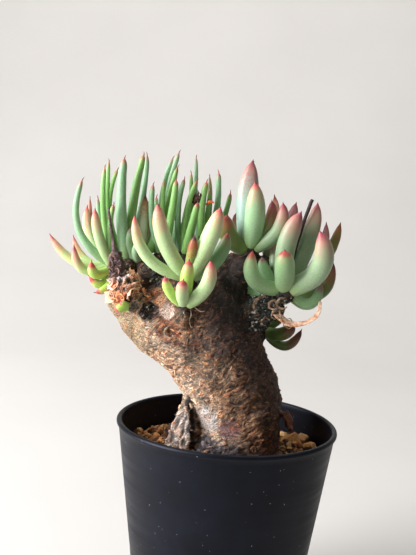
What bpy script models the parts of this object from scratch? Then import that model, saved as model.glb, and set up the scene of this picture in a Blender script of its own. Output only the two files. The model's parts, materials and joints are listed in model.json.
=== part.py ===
"""A tylecodon with a leaning, fat stem and eight tufts of finger leaves, in a nine centimetre pot.

Lengths are typed in millimetres and turned into metres by mm(). The origin is the centre of the
pot's underside, +Z is up and -Y is the side that the plant shows in front.
"""

import math
import random

import bmesh
import bpy
from mathutils import Vector, noise

MM = 0.001

# The pot, turned about +Z
POT_HEIGHT = 85.0
POT_RIM_RADIUS = 45.0
POT_BASE_RADIUS = 32.6
POT_TOP_RADIUS = 44.4
POT_WALL = 1.2
POT_FLOOR = 1.6
POT_SIDES = 40
BEAD = 1.1
BEAD_START = 165.0
BEAD_END = -50.0
BEAD_POINTS = 6
FOOT_BEVEL = 1.2
DRAIN_HOLES = 8
DRAIN_RADIUS = 2.5
DRAIN_CIRCLE = 20.0
DRAIN_SIDES = 12

# The soil, which fills the pot to a little under its rim
CLEARANCE = 0.3
SOIL_LEVEL = 72.0
SOIL_RINGS = 3
SOIL_ROUGHNESS = 0.9
SOIL_BUMP = 11.0
SOIL_SLICE = 40.0
GRAINS = 52
GRAIN_SMALL = 1.8
GRAIN_LARGE = 3.4
GRAIN_RISE = 0.45
GRAIN_JITTER = (0.82, 1.12)
GRAIN_FLATNESS = 0.8
GRAIN_SPACING = 0.75
GRAIN_SEED = 11
HOLE_CLEARANCE = 0.7
HOLE_RISE = 16.0
HOLE_SIDES = 24
DENT_CLEARANCE = 1.6
TUFT_CLEARANCE = 0.42

# The fat stem: centre (right, away, up), half width across the lean and half depth
STEM = (
    (4.0, 0.0, 38.0, 9.0, 9.0),
    (4.0, 0.0, 50.0, 14.5, 15.0),
    (4.0, 0.0, 62.0, 17.0, 17.5),
    (4.0, 0.0, 74.0, 17.6, 18.0),
    (5.0, 0.0, 83.0, 17.4, 18.0),
    (4.0, 0.0, 91.0, 18.2, 18.5),
    (1.0, 0.0, 99.0, 18.6, 18.8),
    (-6.0, 0.0, 112.0, 19.8, 19.2),
    (-15.0, 0.0, 123.5, 21.5, 19.0),
    (-22.0, 0.0, 131.0, 22.0, 17.0),
)
STEM_AT_SOIL = 3
STEM_SIDES = 32

# Swellings of its crown and the short branches that carry the tufts: centre and radius
CROWN = (
    (-44.0, -1.5, 133.0, 7.8),
    (-46.0, -2.0, 136.0, 6.8),
    (-36.5, 0.0, 126.0, 10.0),
    (-27.0, 0.0, 124.0, 15.3),
    (-37.0, 1.0, 134.0, 10.5),
    (-26.0, -5.0, 132.5, 11.5),
    (-22.0, 6.0, 136.0, 10.5),
    (-9.0, 2.0, 132.5, 12.0),
    (-31.0, 3.5, 140.5, 7.2),
    (-22.0, 6.5, 142.0, 7.5),
    (-14.0, 8.0, 143.0, 7.2),
    (-19.5, -11.0, 136.5, 6.8),
    (-43.6, -12.5, 138.0, 6.6),
    (-38.0, -13.0, 133.0, 4.6),
    (-20.5, -16.5, 129.5, 4.6),
)

# Lumps of the foot just above and in the soil
FOOT = (
    (-6.5, -11.5, 75.0, 6.4),
    (2.0, -15.0, 73.5, 4.8),
)
BRANCHES = (
    ((-3.0, 2.0, 133.0, 9.0), (0.5, 3.0, 142.0, 6.8), (3.8, 4.0, 150.5, 5.4)),
    ((-1.0, -1.0, 123.0, 9.5), (7.5, -2.0, 130.5, 7.2), (14.0, -3.0, 133.8, 5.8), (18.0, -4.5, 136.0, 4.8)),
    ((4.0, 6.0, 114.0, 9.0), (9.5, 9.0, 118.5, 5.0), (11.5, 9.6, 119.6, 3.6)),
)
BRANCH_SIDES = 16

# How the stem's faceted skin is made from those shapes
SKIN_VOXEL = 1.2
SKIN_TRIANGLES = 2600
BARK_LUMP = 9.0
BARK_HEIGHT = 1.1
BARK_WRINKLE = 3.2
WRINKLE_HEIGHT = 0.45
WRINKLE_STRETCH = 1.6
SKIN_EASE = 0.5
SKIN_EASE_STEPS = 4
BURIED_BELOW = 70.0
BARE_ABOVE = 78.0

# Loose flaps of bark: pairs of points down their left and right edge
FLAP_THICKNESS = 1.3
FLAPS = (
    (
        ((-17.2, -7.5, 97.5), (-16.2, -8.5, 97.0)),
        ((-19.5, -8.5, 90.0), (-14.5, -12.0, 89.0)),
        ((-22.0, -10.0, 82.0), (-14.0, -15.0, 81.5)),
        ((-24.0, -11.0, 75.8), (-14.5, -17.0, 75.8)),
    ),
    (
        ((20.5, -6.0, 91.5), (20.5, -3.5, 92.0)),
        ((23.5, -7.0, 87.0), (24.5, -3.5, 88.0)),
        ((25.0, -6.5, 83.5), (26.3, -4.0, 84.0)),
    ),
)

# The leaves of each tuft. A growing point has its place (right, away, up) and the radius of
# the core round it. A leaf has its tip's place from the growing point (right, away, up), its
# width, and how far its middle bulges to the right. Leaves that grow on the far side follow
# the rule in far_leaves: their number, length and width.
TUFTS = {
    "leaves_left": (
        ((-49.5, -2.0, 144.5), 3.8, (5, 22.0, 2.8), (
            (-13.5, -4.0, 34.5, 2.8, -7.5),
            (-5.5, 0.0, 40.0, 2.4, -2.0),
            (-4.5, 5.0, 42.5, 2.1, -1.5),
            (-0.5, -6.0, 26.0, 2.4, -1.5),
            (-8.5, 7.0, 27.5, 2.1, -1.5),
            (-25.5, -1.0, 12.0, 3.3, -4.5),
            (-15.0, -7.0, 9.0, 3.4, -6.0),
            (-7.5, -10.0, 3.5, 3.6, -4.0),
            (-8.5, -7.0, -2.5, 3.2, -4.5),
            (-13.5, 5.0, 14.0, 3.3, 0.5),
            (-7.5, -7.0, 23.5, 3.8, -1.5),
            (-12.5, 6.0, 24.0, 3.5, -4.0),
            (-12.0, 9.0, 27.5, 1.8, -3.0),
            (-17.5, 6.0, 11.5, 2.5, -4.0),
            (-5.5, -9.0, -8.5, 2.9, -2.5),
        )),
        ((-44.5, -1.0, 146.5), 3.8, (0, 0.0, 0.0), (
            (-6.0, 4.0, 37.5, 2.3, -5.0),
            (-2.5, -5.0, 42.0, 4.0, -1.5),
            (1.5, 7.0, 37.0, 2.3, -1.0),
            (4.5, 0.0, 44.0, 3.3, -1.0),
            (5.5, 5.0, 44.0, 2.5, 1.5),
        )),
        ((-39.5, 0.5, 146.5), 3.0, (0, 0.0, 0.0), (
            (-3.5, -4.0, 15.0, 3.7, -3.0),
            (0.0, -5.0, 10.0, 2.8, -1.5),
            (1.0, 0.5, 28.0, 3.7, 0.0),
            (2.5, 3.0, 21.0, 2.1, 1.0),
        )),
    ),
    "leaves_front": (
        ((-19.5, -13.0, 143.5), 3.6, (0, 0.0, 0.0), (
            (-21.0, -7.0, 23.5, 4.0, -6.0),
            (-12.5, -8.0, 28.5, 5.5, -2.5),
            (11.0, -7.0, 28.5, 6.2, 1.0),
            (14.5, 0.0, 19.0, 4.3, 4.5),
            (2.0, -7.0, 17.5, 3.5, 0.0),
        )),
    ),
    "leaves_rear": (
        ((-30.5, 4.0, 148.5), 4.7, (3, 26.0, 2.6), (
            (-5.0, -6.0, 30.5, 2.6, -2.0),
            (1.5, 5.0, 41.5, 2.3, -3.0),
            (4.0, 4.0, 44.0, 2.5, -2.0),
            (4.0, -1.0, 38.0, 2.5, -1.5),
            (-1.0, -4.0, 32.0, 2.3, -0.5),
            (4.0, -6.0, 33.0, 3.1, 0.5),
        )),
        ((-22.0, 7.0, 149.0), 4.8, (3, 26.0, 2.6), (
            (-1.5, -3.0, 33.0, 2.5, -2.5),
            (2.5, 3.0, 42.0, 1.9, 1.5),
            (1.0, -1.0, 35.5, 1.9, 1.0),
            (3.5, -6.0, 32.5, 2.5, -2.0),
            (4.5, -10.0, 24.0, 3.2, 0.0),
        )),
        ((-14.0, 9.0, 150.0), 4.6, (3, 24.0, 2.6), (
            (-0.5, -7.0, 31.5, 2.9, -1.5),
            (0.5, 1.0, 34.0, 1.9, 1.0),
            (1.0, -4.0, 28.5, 2.1, 0.0),
            (4.0, -1.0, 35.5, 2.7, 2.0),
            (9.5, 3.0, 27.5, 2.5, 1.5),
        )),
    ),
    "leaves_right_upper": (
        ((4.5, 4.0, 154.5), 4.4, (4, 21.0, 4.2), (
            (-1.0, 2.0, 36.5, 8.0, -1.5),
            (0.0, -9.0, 28.0, 7.2, 1.0),
            (-10.0, -7.0, 14.5, 5.7, -2.0),
            (-6.0, 9.0, 15.0, 2.6, -2.0),
            (7.5, -3.0, 21.0, 3.7, 3.0),
            (9.0, 5.0, 23.0, 3.4, 4.0),
            (11.5, -9.0, 20.5, 5.2, 4.5),
        )),
    ),
    "leaves_right": (
        ((19.0, -5.0, 140.0), 4.8, (4, 24.0, 4.6), (
            (3.5, 15.0, 35.0, 3.8, -1.0),
            (4.0, -3.0, 32.0, 6.8, -3.0),
            (11.5, 8.0, 35.5, 6.2, 2.0),
            (-2.0, -12.0, 17.5, 7.0, 0.0),
            (11.0, -11.0, 25.5, 7.4, 7.0),
            (15.5, 7.0, 28.0, 3.3, 5.0),
            (22.0, 13.0, 28.0, 3.8, 4.5),
            (19.0, 6.0, 13.0, 4.9, 8.0),
            (15.0, 2.0, 4.0, 4.5, 6.5),
            (-14.0, -8.0, 16.0, 5.5, -6.0),
            (-9.5, 3.0, 13.0, 4.5, -2.0),
            (-16.0, 6.0, 8.0, 4.1, -7.0),
            (8.5, 5.0, 37.0, 1.3, -0.5),
        )),
    ),
    "leaves_low_right": (
        ((13.0, 10.0, 120.5), 3.0, (3, 11.0, 3.4), (
            (12.0, -6.0, 5.0, 5.0, 2.0),
            (15.5, -2.0, 2.5, 3.6, 6.0),
            (8.0, 2.0, 6.0, 3.8, -1.0),
        )),
    ),
    "leaves_front_shoot": (
        ((-20.0, -20.5, 134.5), 2.2, (0, 0.0, 0.0), (
            (1.0, -3.0, 17.5, 4.6, 0.0),
            (-0.5, -8.0, 10.5, 4.3, -0.5),
            (9.0, -5.0, 18.0, 5.0, 3.5),
            (-7.5, -5.0, 11.0, 3.4, -1.5),
        )),
    ),
    "leaves_left_shoot": (
        ((-40.5, -17.5, 132.5), 1.6, (0, 0.0, 0.0), (
            (-5.5, -2.0, -2.0, 3.2, 0.5),
            (-4.0, -2.0, 1.5, 2.3, 0.0),
        )),
    ),
}
LEAF_SIDES = 6
LEAF_THICKNESS = 0.86
LEAF_STATIONS = (0.0, 0.18, 0.42, 0.68, 0.87, 0.96)
LEAF_WIDTHS = (0.72, 0.9, 1.0, 0.98, 0.74, 0.36)
LEAF_ROOT_DEPTH = 0.45
LEAF_OUTWARD = 0.3
GOLDEN_ANGLE = 137.508
FAR_FAN_START = 45.0
FAR_FAN = 90.0
FAR_LEAN_LEAST = 20.0
FAR_LEAN_MOST = 48.0
FAR_BOW = 1.5
FAR_SHIFT = 2.0
LEAF_SEED = 5

# Dry remains: points (right, away, up) and radius. The first point is inside the stem, which
# trims it.
DRY_STALK = (
    (-46.2, -13.2, 141.5, 1.6),
    (-46.8, -13.6, 146.0, 2.3),
    (-47.4, -13.6, 150.5, 1.8),
    (-49.2, -13.6, 155.5, 0.7),
    (-50.4, -13.6, 164.0, 0.6),
    (-51.2, -13.6, 169.0, 0.5),
)
DRY_LEAF = (
    (15.2, -5.8, 132.6, 1.2),
    (17.9, -8.6, 130.6, 1.3),
    (21.0, -10.4, 128.8, 1.3),
    (24.5, -11.0, 128.6, 1.1),
    (28.0, -11.2, 129.6, 0.9),
    (31.2, -11.2, 131.8, 0.8),
    (32.6, -11.2, 134.6, 0.7),
    (32.8, -11.2, 138.0, 0.6),
)
DRY_SIDES = 6

COLOURS = {
    "pot": ((0.012, 0.013, 0.015), 0.55),
    "soil": ((0.33, 0.22, 0.12), 0.95),
    "stem": ((0.12, 0.065, 0.035), 0.9),
    "leaf": ((0.32, 0.55, 0.25), 0.5),
    "dry": ((0.35, 0.17, 0.08), 0.85),
}


def mm(*values):
    """A place in metres from three lengths in millimetres."""
    return Vector(values) * MM


def clear_scene():
    """Remove every object of the open file."""
    for found in list(bpy.data.objects):
        bpy.data.objects.remove(found, do_unlink=True)


def material(name, colour_key):
    """A plain Principled material with one colour and roughness."""
    colour, roughness = COLOURS[colour_key]
    made = bpy.data.materials.new(name)
    made.use_nodes = True
    shader = made.node_tree.nodes["Principled BSDF"]
    shader.inputs["Base Color"].default_value = (*colour, 1.0)
    shader.inputs["Roughness"].default_value = roughness
    shader.inputs["Metallic"].default_value = 0.0
    return made


def add_object(name, shape, collection=None):
    """Put a bmesh in the scene as an object."""
    mesh = bpy.data.meshes.new(name)
    shape.to_mesh(mesh)
    shape.free()
    made = bpy.data.objects.new(name, mesh)
    (collection or bpy.context.scene.collection).objects.link(made)
    return made


def finish(made, colour_key):
    """Give an object its own material and smooth shading between soft edges."""
    made.data.materials.clear()
    made.data.materials.append(material(made.name, colour_key))
    made.data.shade_smooth()
    made.data.set_sharp_from_angle(angle=math.radians(40.0))
    return made


def apply_modifiers(made):
    """Replace an object's mesh with the one that its modifiers give."""
    graph = bpy.context.evaluated_depsgraph_get()
    mesh = bpy.data.meshes.new_from_object(made.evaluated_get(graph))
    made.modifiers.clear()
    made.data = mesh


def new_collection(name):
    """A collection in the scene for shapes that are about to be joined."""
    made = bpy.data.collections.new(name)
    bpy.context.scene.collection.children.link(made)
    return made


def remove_collection(collection):
    """Remove a collection and the objects in it."""
    for found in list(collection.objects):
        bpy.data.objects.remove(found)
    bpy.data.collections.remove(collection)


def boolean(made, operation, other=None, collection=None, solver="EXACT"):
    """Join or cut an object with another one, or with all those of a collection."""
    step = made.modifiers.new(operation.title(), "BOOLEAN")
    step.operation = operation
    step.solver = solver
    if collection:
        step.operand_type = "COLLECTION"
        step.collection = collection
    else:
        step.object = other
    apply_modifiers(made)


def keep_largest_body(made):
    """Drop loose scraps that a cut leaves beside the main body."""
    shape = bmesh.new()
    shape.from_mesh(made.data)
    bodies = []
    unseen = set(shape.verts)
    while unseen:
        reached = [unseen.pop()]
        body = []
        while reached:
            vertex = reached.pop()
            body.append(vertex)
            for edge in vertex.link_edges:
                other = edge.other_vert(vertex)
                if other in unseen:
                    unseen.remove(other)
                    reached.append(other)
        bodies.append(body)
    bodies.sort(key=len)
    for scrap in bodies[:-1]:
        bmesh.ops.delete(shape, geom=scrap, context="VERTS")
    shape.to_mesh(made.data)
    shape.free()


def smoothstep(low, high, value):
    """Rise from 0 at low to 1 at high."""
    share = min(max((value - low) / (high - low), 0.0), 1.0)
    return share * share * (3.0 - 2.0 * share)


def path_frames(points):
    """The side and top direction at each point of a path, turning with it but not twisting."""
    frames = []
    side = None
    for i, point in enumerate(points):
        ahead = points[min(i + 1, len(points) - 1)]
        behind = points[max(i - 1, 0)]
        along = (ahead - behind).normalized()
        if side is None:
            side = Vector((0.0, 1.0, 0.0)).cross(along)
            if side.length < 0.2:
                side = Vector((1.0, 0.0, 0.0))
        side = (side - along * side.dot(along)).normalized()
        frames.append((side, along.cross(side)))
    return frames


def add_tube(shape, points, widths, depths, sides, tip=None):
    """Add a closed tube of oval sections to a bmesh, ending in a point where a tip is given."""
    rings = []
    for point, (side, top), width, depth in zip(points, path_frames(points), widths, depths):
        ring = []
        for k in range(sides):
            turn = 2.0 * math.pi * k / sides
            offset = side * width * math.cos(turn) + top * depth * math.sin(turn)
            ring.append(shape.verts.new(point + offset))
        rings.append(ring)
    for lower, upper in zip(rings, rings[1:]):
        for k in range(sides):
            after = (k + 1) % sides
            shape.faces.new((lower[k], lower[after], upper[after], upper[k]))
    shape.faces.new(reversed(rings[0]))
    last = rings[-1]
    if tip is None:
        shape.faces.new(last)
    else:
        end = shape.verts.new(tip)
        for k in range(sides):
            shape.faces.new((last[k], last[(k + 1) % sides], end))


def turned(name, profile, sides):
    """An object turned about +Z from a profile at +X that runs down its outer side."""
    mesh = bpy.data.meshes.new(name)
    edges = [(i, i + 1) for i in range(len(profile) - 1)]
    mesh.from_pydata([mm(radius, 0.0, height) for radius, height in profile], edges, [])
    made = bpy.data.objects.new(name, mesh)
    bpy.context.scene.collection.objects.link(made)
    screw = made.modifiers.new("Screw", "SCREW")
    screw.steps = sides
    screw.render_steps = sides
    screw.use_merge_vertices = True
    screw.merge_threshold = 0.00001
    apply_modifiers(made)
    return made


def wall_radius(height):
    """The outer radius of the pot's wall at a height."""
    return POT_BASE_RADIUS + (POT_TOP_RADIUS - POT_BASE_RADIUS) * height / POT_HEIGHT


def make_pot():
    """The pot, with a rolled bead round its rim and holes in its floor."""
    bead_radius = POT_RIM_RADIUS - BEAD
    bead_height = POT_HEIGHT - BEAD
    bead = []
    for k in range(BEAD_POINTS):
        turn = math.radians(BEAD_START + (BEAD_END - BEAD_START) * k / (BEAD_POINTS - 1))
        bead.append((bead_radius + BEAD * math.cos(turn), bead_height + BEAD * math.sin(turn)))
    profile = [
        (0.0, POT_FLOOR),
        (POT_BASE_RADIUS - 2.0 * POT_WALL, POT_FLOOR),
        (wall_radius(2.0 * POT_FLOOR) - POT_WALL, 2.0 * POT_FLOOR),
        (wall_radius(bead_height) - POT_WALL, bead_height - BEAD),
        *bead,
        (wall_radius(bead_height), bead_height - BEAD),
        (wall_radius(FOOT_BEVEL), FOOT_BEVEL),
        (POT_BASE_RADIUS - FOOT_BEVEL, 0.0),
        (0.0, 0.0),
    ]
    pot = turned("pot", profile, POT_SIDES)
    drills = bmesh.new()
    for k in range(DRAIN_HOLES):
        turn = 2.0 * math.pi * k / DRAIN_HOLES
        x, y = DRAIN_CIRCLE * math.cos(turn), DRAIN_CIRCLE * math.sin(turn)
        ends = [mm(x, y, -POT_FLOOR), mm(x, y, 2.0 * POT_FLOOR)]
        radii = [DRAIN_RADIUS * MM, DRAIN_RADIUS * MM]
        add_tube(drills, ends, radii, radii, DRAIN_SIDES)
    cutter = add_object("drain_drills", drills)
    boolean(pot, "DIFFERENCE", cutter)
    bpy.data.objects.remove(cutter)
    return finish(pot, "pot")


def soil_height(x, y):
    """The height of the soil's surface above the pot's underside."""
    return SOIL_LEVEL + SOIL_ROUGHNESS * noise.noise(Vector((x, y, SOIL_SLICE)) / SOIL_BUMP)


def soil_edge():
    """The radius of the soil at its surface."""
    return wall_radius(SOIL_LEVEL) - POT_WALL - CLEARANCE


def soil_body():
    """The soil as a round block with an uneven top."""
    bend = 2.0 * POT_FLOOR + CLEARANCE
    rings = [
        (POT_BASE_RADIUS - 2.0 * POT_WALL - CLEARANCE, POT_FLOOR + CLEARANCE),
        (wall_radius(bend) - POT_WALL - CLEARANCE, bend),
    ]
    for i in range(SOIL_RINGS):
        rings.append((soil_edge() * (1.0 - i / SOIL_RINGS), None))
    shape = bmesh.new()
    loops = []
    for radius, height in rings:
        loop = []
        for k in range(POT_SIDES):
            turn = 2.0 * math.pi * k / POT_SIDES
            x, y = radius * math.cos(turn), radius * math.sin(turn)
            z = soil_height(x, y) if height is None else height
            loop.append(shape.verts.new(mm(x, y, z)))
        loops.append(loop)
    for lower, upper in zip(loops, loops[1:]):
        for k in range(POT_SIDES):
            after = (k + 1) % POT_SIDES
            shape.faces.new((lower[k], lower[after], upper[after], upper[k]))
    shape.faces.new(reversed(loops[0]))
    centre = shape.verts.new(mm(0.0, 0.0, soil_height(0.0, 0.0)))
    inner = loops[-1]
    for k in range(POT_SIDES):
        shape.faces.new((inner[k], inner[(k + 1) % POT_SIDES], centre))
    return add_object("soil", shape)


def add_grain(x, y, size, draw, collection):
    """One angular grain, half sunk in the soil."""
    grain = bmesh.new()
    bmesh.ops.create_icosphere(grain, subdivisions=1, radius=size * MM)
    for vertex in grain.verts:
        vertex.co *= draw.uniform(*GRAIN_JITTER)
        vertex.co.z *= GRAIN_FLATNESS
        vertex.co += mm(x, y, soil_height(x, y) + GRAIN_RISE * size)
    add_object("grain", grain, collection)


def add_grains(collection):
    """Grains strewn between the stem and the pot's wall, each clear of the others' middles."""
    draw = random.Random(GRAIN_SEED)
    stem_x, stem_y, _, stem_width, _ = STEM[STEM_AT_SOIL]
    placed = []
    while len(placed) < GRAINS:
        size = draw.uniform(GRAIN_SMALL, GRAIN_LARGE)
        turn = draw.uniform(0.0, 2.0 * math.pi)
        reach = draw.uniform(stem_width, soil_edge() - size - CLEARANCE)
        x, y = reach * math.cos(turn), reach * math.sin(turn)
        in_stem = math.hypot(x - stem_x, y - stem_y) < stem_width + HOLE_CLEARANCE
        crowded = any(math.hypot(x - a, y - b) < GRAIN_SPACING * (size + other) for a, b, other in placed)
        if not in_stem and not crowded:
            placed.append((x, y, size))
            add_grain(x, y, size, draw, collection)


def hole_cutters():
    """The plain hole for the foot of the stem, and a dent for each lump of the foot."""
    x, y, top, width, depth = STEM[STEM_AT_SOIL]
    sections = (*STEM[:STEM_AT_SOIL + 1], (x, y, top + HOLE_RISE, width, depth))
    points = [mm(*section[:3]) for section in sections]
    points[0].z -= HOLE_CLEARANCE * MM
    widths = [(section[3] + HOLE_CLEARANCE) * MM for section in sections]
    depths = [(section[4] + HOLE_CLEARANCE) * MM for section in sections]
    hole = bmesh.new()
    add_tube(hole, points, widths, depths, HOLE_SIDES)
    cutters = [add_object("stem_hole", hole)]
    for x, y, z, radius in FOOT:
        dent = bmesh.new()
        bmesh.ops.create_icosphere(dent, subdivisions=2, radius=(radius + DENT_CLEARANCE) * MM)
        bmesh.ops.translate(dent, verts=dent.verts, vec=mm(x, y, z))
        cutters.append(add_object("foot_dent", dent))
    return cutters


def make_soil():
    """The soil with its loose grains fused in, and room for the foot of the stem."""
    soil = soil_body()
    grains = new_collection("grains")
    add_grains(grains)
    boolean(soil, "UNION", collection=grains, solver="MANIFOLD")
    remove_collection(grains)
    for cutter in hole_cutters():
        boolean(soil, "DIFFERENCE", cutter, solver="MANIFOLD")
        bpy.data.objects.remove(cutter)
    keep_largest_body(soil)
    return finish(soil, "soil")


def bark_flap(rows):
    """A thin closed sheet between two edges, from its hinge at the top down."""
    flap = bmesh.new()
    fronts, backs = [], []
    for row in rows:
        for end in row:
            outward = Vector((end[0] - STEM[4][0], end[1], 0.0)).normalized()
            backs.append(flap.verts.new(mm(*end)))
            fronts.append(flap.verts.new(mm(*end) + outward * FLAP_THICKNESS * MM))
    last = len(fronts) - 2
    for i in range(0, last, 2):
        flap.faces.new((fronts[i], fronts[i + 2], fronts[i + 3], fronts[i + 1]))
        flap.faces.new((backs[i], backs[i + 1], backs[i + 3], backs[i + 2]))
        flap.faces.new((fronts[i], backs[i], backs[i + 2], fronts[i + 2]))
        flap.faces.new((fronts[i + 1], fronts[i + 3], backs[i + 3], backs[i + 1]))
    flap.faces.new((fronts[0], fronts[1], backs[1], backs[0]))
    flap.faces.new((fronts[last], backs[last], backs[last + 1], fronts[last + 1]))
    return add_object("bark_flap", flap)


def make_stem():
    """The fat stem with its crown, branches and loose flap of bark, as one skin."""
    shape = bmesh.new()
    points = [mm(*section[:3]) for section in STEM]
    widths = [section[3] * MM for section in STEM]
    depths = [section[4] * MM for section in STEM]
    add_tube(shape, points, widths, depths, STEM_SIDES)
    for x, y, z, radius in CROWN + FOOT:
        ball = bmesh.ops.create_icosphere(shape, subdivisions=3, radius=radius * MM)
        bmesh.ops.translate(shape, verts=ball["verts"], vec=mm(x, y, z))
    for branch in BRANCHES:
        radii = [section[3] * MM for section in branch]
        add_tube(shape, [mm(*section[:3]) for section in branch], radii, radii, BRANCH_SIDES)
    stem = add_object("stem", shape)
    skin = stem.modifiers.new("Skin", "REMESH")
    skin.mode = "VOXEL"
    skin.voxel_size = SKIN_VOXEL * MM
    apply_modifiers(stem)
    ease = stem.modifiers.new("Ease", "SMOOTH")
    ease.factor = SKIN_EASE
    ease.iterations = SKIN_EASE_STEPS
    apply_modifiers(stem)
    for vertex in stem.data.vertices:
        place = vertex.co / MM
        bare = smoothstep(BURIED_BELOW, BARE_ABOVE, place.z)
        lump = BARK_HEIGHT * noise.noise(place / BARK_LUMP)
        stretched = Vector((place.x, place.y, place.z * WRINKLE_STRETCH))
        wrinkle = WRINKLE_HEIGHT * noise.noise(stretched / BARK_WRINKLE)
        vertex.co += vertex.normal * (lump + wrinkle) * bare * MM
    thin = stem.modifiers.new("Thin", "DECIMATE")
    stem.data.calc_loop_triangles()
    thin.ratio = SKIN_TRIANGLES / len(stem.data.loop_triangles)
    thin.use_collapse_triangulate = True
    apply_modifiers(stem)

    for rows in FLAPS:
        piece = bark_flap(rows)
        boolean(stem, "UNION", piece)
        bpy.data.objects.remove(piece)
    return finish(stem, "stem")


def grown_copy(made, distance):
    """A copy of a solid whose skin stands out from it by a distance."""
    mesh = made.data.copy()
    moves = [vertex.normal * distance * MM for vertex in mesh.vertices]
    for vertex, move in zip(mesh.vertices, moves):
        vertex.co += move
    copy = bpy.data.objects.new(made.name + "_grown", mesh)
    bpy.context.scene.collection.objects.link(copy)
    return copy


def leaf_curve(root, tip, bow):
    """Points along a leaf that leaves its root outwards and turns up, in metres."""
    chord = tip - root
    across = Vector((chord.z, 0.0, -chord.x)).normalized()
    handle = (root + tip) / 2.0 + across * 2.0 * bow * MM
    handle.y += LEAF_OUTWARD * chord.y
    points = []
    for t in LEAF_STATIONS:
        points.append(root * (1.0 - t) ** 2 + handle * 2.0 * t * (1.0 - t) + tip * t * t)
    return points


def add_leaf(centre, core, leaf, collection):
    """One finger leaf as an object, with its root sunk in the core."""
    right, away, up, width, bow = leaf
    reach = mm(right, away, up)
    root = centre + reach.normalized() * core * LEAF_ROOT_DEPTH * MM
    tip = centre + reach
    widths = [width / 2.0 * share * MM for share in LEAF_WIDTHS]
    depths = [value * LEAF_THICKNESS for value in widths]
    shape = bmesh.new()
    add_tube(shape, leaf_curve(root, tip, bow), widths, depths, LEAF_SIDES, tip)
    add_object("leaf", shape, collection)


def far_leaves(number, length, width, draw):
    """Leaves on the far side of a tuft, spread by the golden angle."""
    leaves = []
    for k in range(number):
        turn = math.radians(FAR_FAN_START + (k + 0.5) * GOLDEN_ANGLE % FAR_FAN)
        share = (k + 0.5) / number
        lean = math.radians(FAR_LEAN_LEAST + (FAR_LEAN_MOST - FAR_LEAN_LEAST) * share)
        size = length * draw.uniform(0.82, 1.1)
        flat = size * math.sin(lean)
        right, away = flat * math.cos(turn), flat * math.sin(turn) + FAR_SHIFT
        bow = math.copysign(FAR_BOW, right)
        leaves.append((right, away, size * math.cos(lean), width * draw.uniform(0.85, 1.1), bow))
    return leaves


def make_tuft(name, growing_points, grown_stem, draw):
    """The leaves of one tuft, joined by their roots and trimmed to the stem below."""
    parts = new_collection(name + "_parts")
    tuft = None
    for place, core, (number, length, width), leaves in growing_points:
        centre = mm(*place)
        ball = bmesh.new()
        bmesh.ops.create_icosphere(ball, subdivisions=2, radius=core * MM)
        bmesh.ops.translate(ball, verts=ball.verts, vec=centre)
        if tuft is None:
            tuft = add_object(name, ball)
        else:
            add_object("core", ball, parts)
        for leaf in list(leaves) + far_leaves(number, length, width, draw):
            add_leaf(centre, core, leaf, parts)
    boolean(tuft, "UNION", collection=parts, solver="MANIFOLD")
    remove_collection(parts)
    boolean(tuft, "DIFFERENCE", grown_stem, solver="MANIFOLD")
    keep_largest_body(tuft)
    return finish(tuft, "leaf")


def make_dry(name, sections, grown_stem):
    """A dry stalk or leaf as a thin tube, trimmed to the stem that carries it."""
    shape = bmesh.new()
    radii = [section[3] * MM for section in sections]
    add_tube(shape, [mm(*section[:3]) for section in sections], radii, radii, DRY_SIDES)
    made = add_object(name, shape)
    boolean(made, "DIFFERENCE", grown_stem)
    return finish(made, "dry")


def main():
    """Build the whole plant in its pot."""
    clear_scene()
    make_pot()
    make_soil()
    stem = make_stem()
    grown_stem = grown_copy(stem, TUFT_CLEARANCE)
    draw = random.Random(LEAF_SEED)
    for name, growing_points in TUFTS.items():
        make_tuft(name, growing_points, grown_stem, draw)
    make_dry("dry_stalk", DRY_STALK, grown_stem)
    make_dry("dry_leaf", DRY_LEAF, grown_stem)
    bpy.data.objects.remove(grown_stem)


main()
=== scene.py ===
# %% [markdown]
# # A tylecodon in its nursery pot
# A tylecodon is a succulent shrub: a fat stem wrapped in flaking bark, with tufts of finger
# leaves that sit straight on it. The solids under this scene are plain and faceted. This lesson
# gives each of them its real surface, and leaves all of them where they are.

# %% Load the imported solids
import json
import math
import random

import bmesh
import bpy
import numpy as np
from mathutils import Matrix, Vector, noise

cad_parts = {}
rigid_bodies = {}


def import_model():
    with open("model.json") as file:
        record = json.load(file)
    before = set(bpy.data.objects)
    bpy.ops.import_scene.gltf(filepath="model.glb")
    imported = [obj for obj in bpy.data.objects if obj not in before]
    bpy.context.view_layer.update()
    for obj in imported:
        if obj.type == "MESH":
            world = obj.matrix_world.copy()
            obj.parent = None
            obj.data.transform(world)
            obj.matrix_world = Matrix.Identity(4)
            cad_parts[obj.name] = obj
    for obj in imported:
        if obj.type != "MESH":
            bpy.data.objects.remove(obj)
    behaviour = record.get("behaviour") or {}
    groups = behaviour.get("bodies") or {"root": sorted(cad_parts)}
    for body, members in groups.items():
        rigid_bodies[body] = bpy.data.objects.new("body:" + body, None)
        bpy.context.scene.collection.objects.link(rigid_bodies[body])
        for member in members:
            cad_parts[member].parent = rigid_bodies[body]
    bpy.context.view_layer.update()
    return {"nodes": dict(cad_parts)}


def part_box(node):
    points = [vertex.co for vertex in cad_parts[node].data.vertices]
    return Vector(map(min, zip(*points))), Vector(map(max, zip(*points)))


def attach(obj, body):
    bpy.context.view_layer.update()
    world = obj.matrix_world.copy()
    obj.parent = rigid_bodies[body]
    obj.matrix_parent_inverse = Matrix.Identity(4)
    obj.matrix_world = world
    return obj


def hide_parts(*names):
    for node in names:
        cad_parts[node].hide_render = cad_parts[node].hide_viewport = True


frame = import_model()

MM = 0.001

# %% [markdown]
# Three small helpers carry the whole lesson. One turns millimetres into a place, one turns a
# colour as a painter writes it into the linear light that shaders want, and one adds a node to
# any tree, in a material or in Geometry Nodes, with its settings and links in one go.

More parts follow.
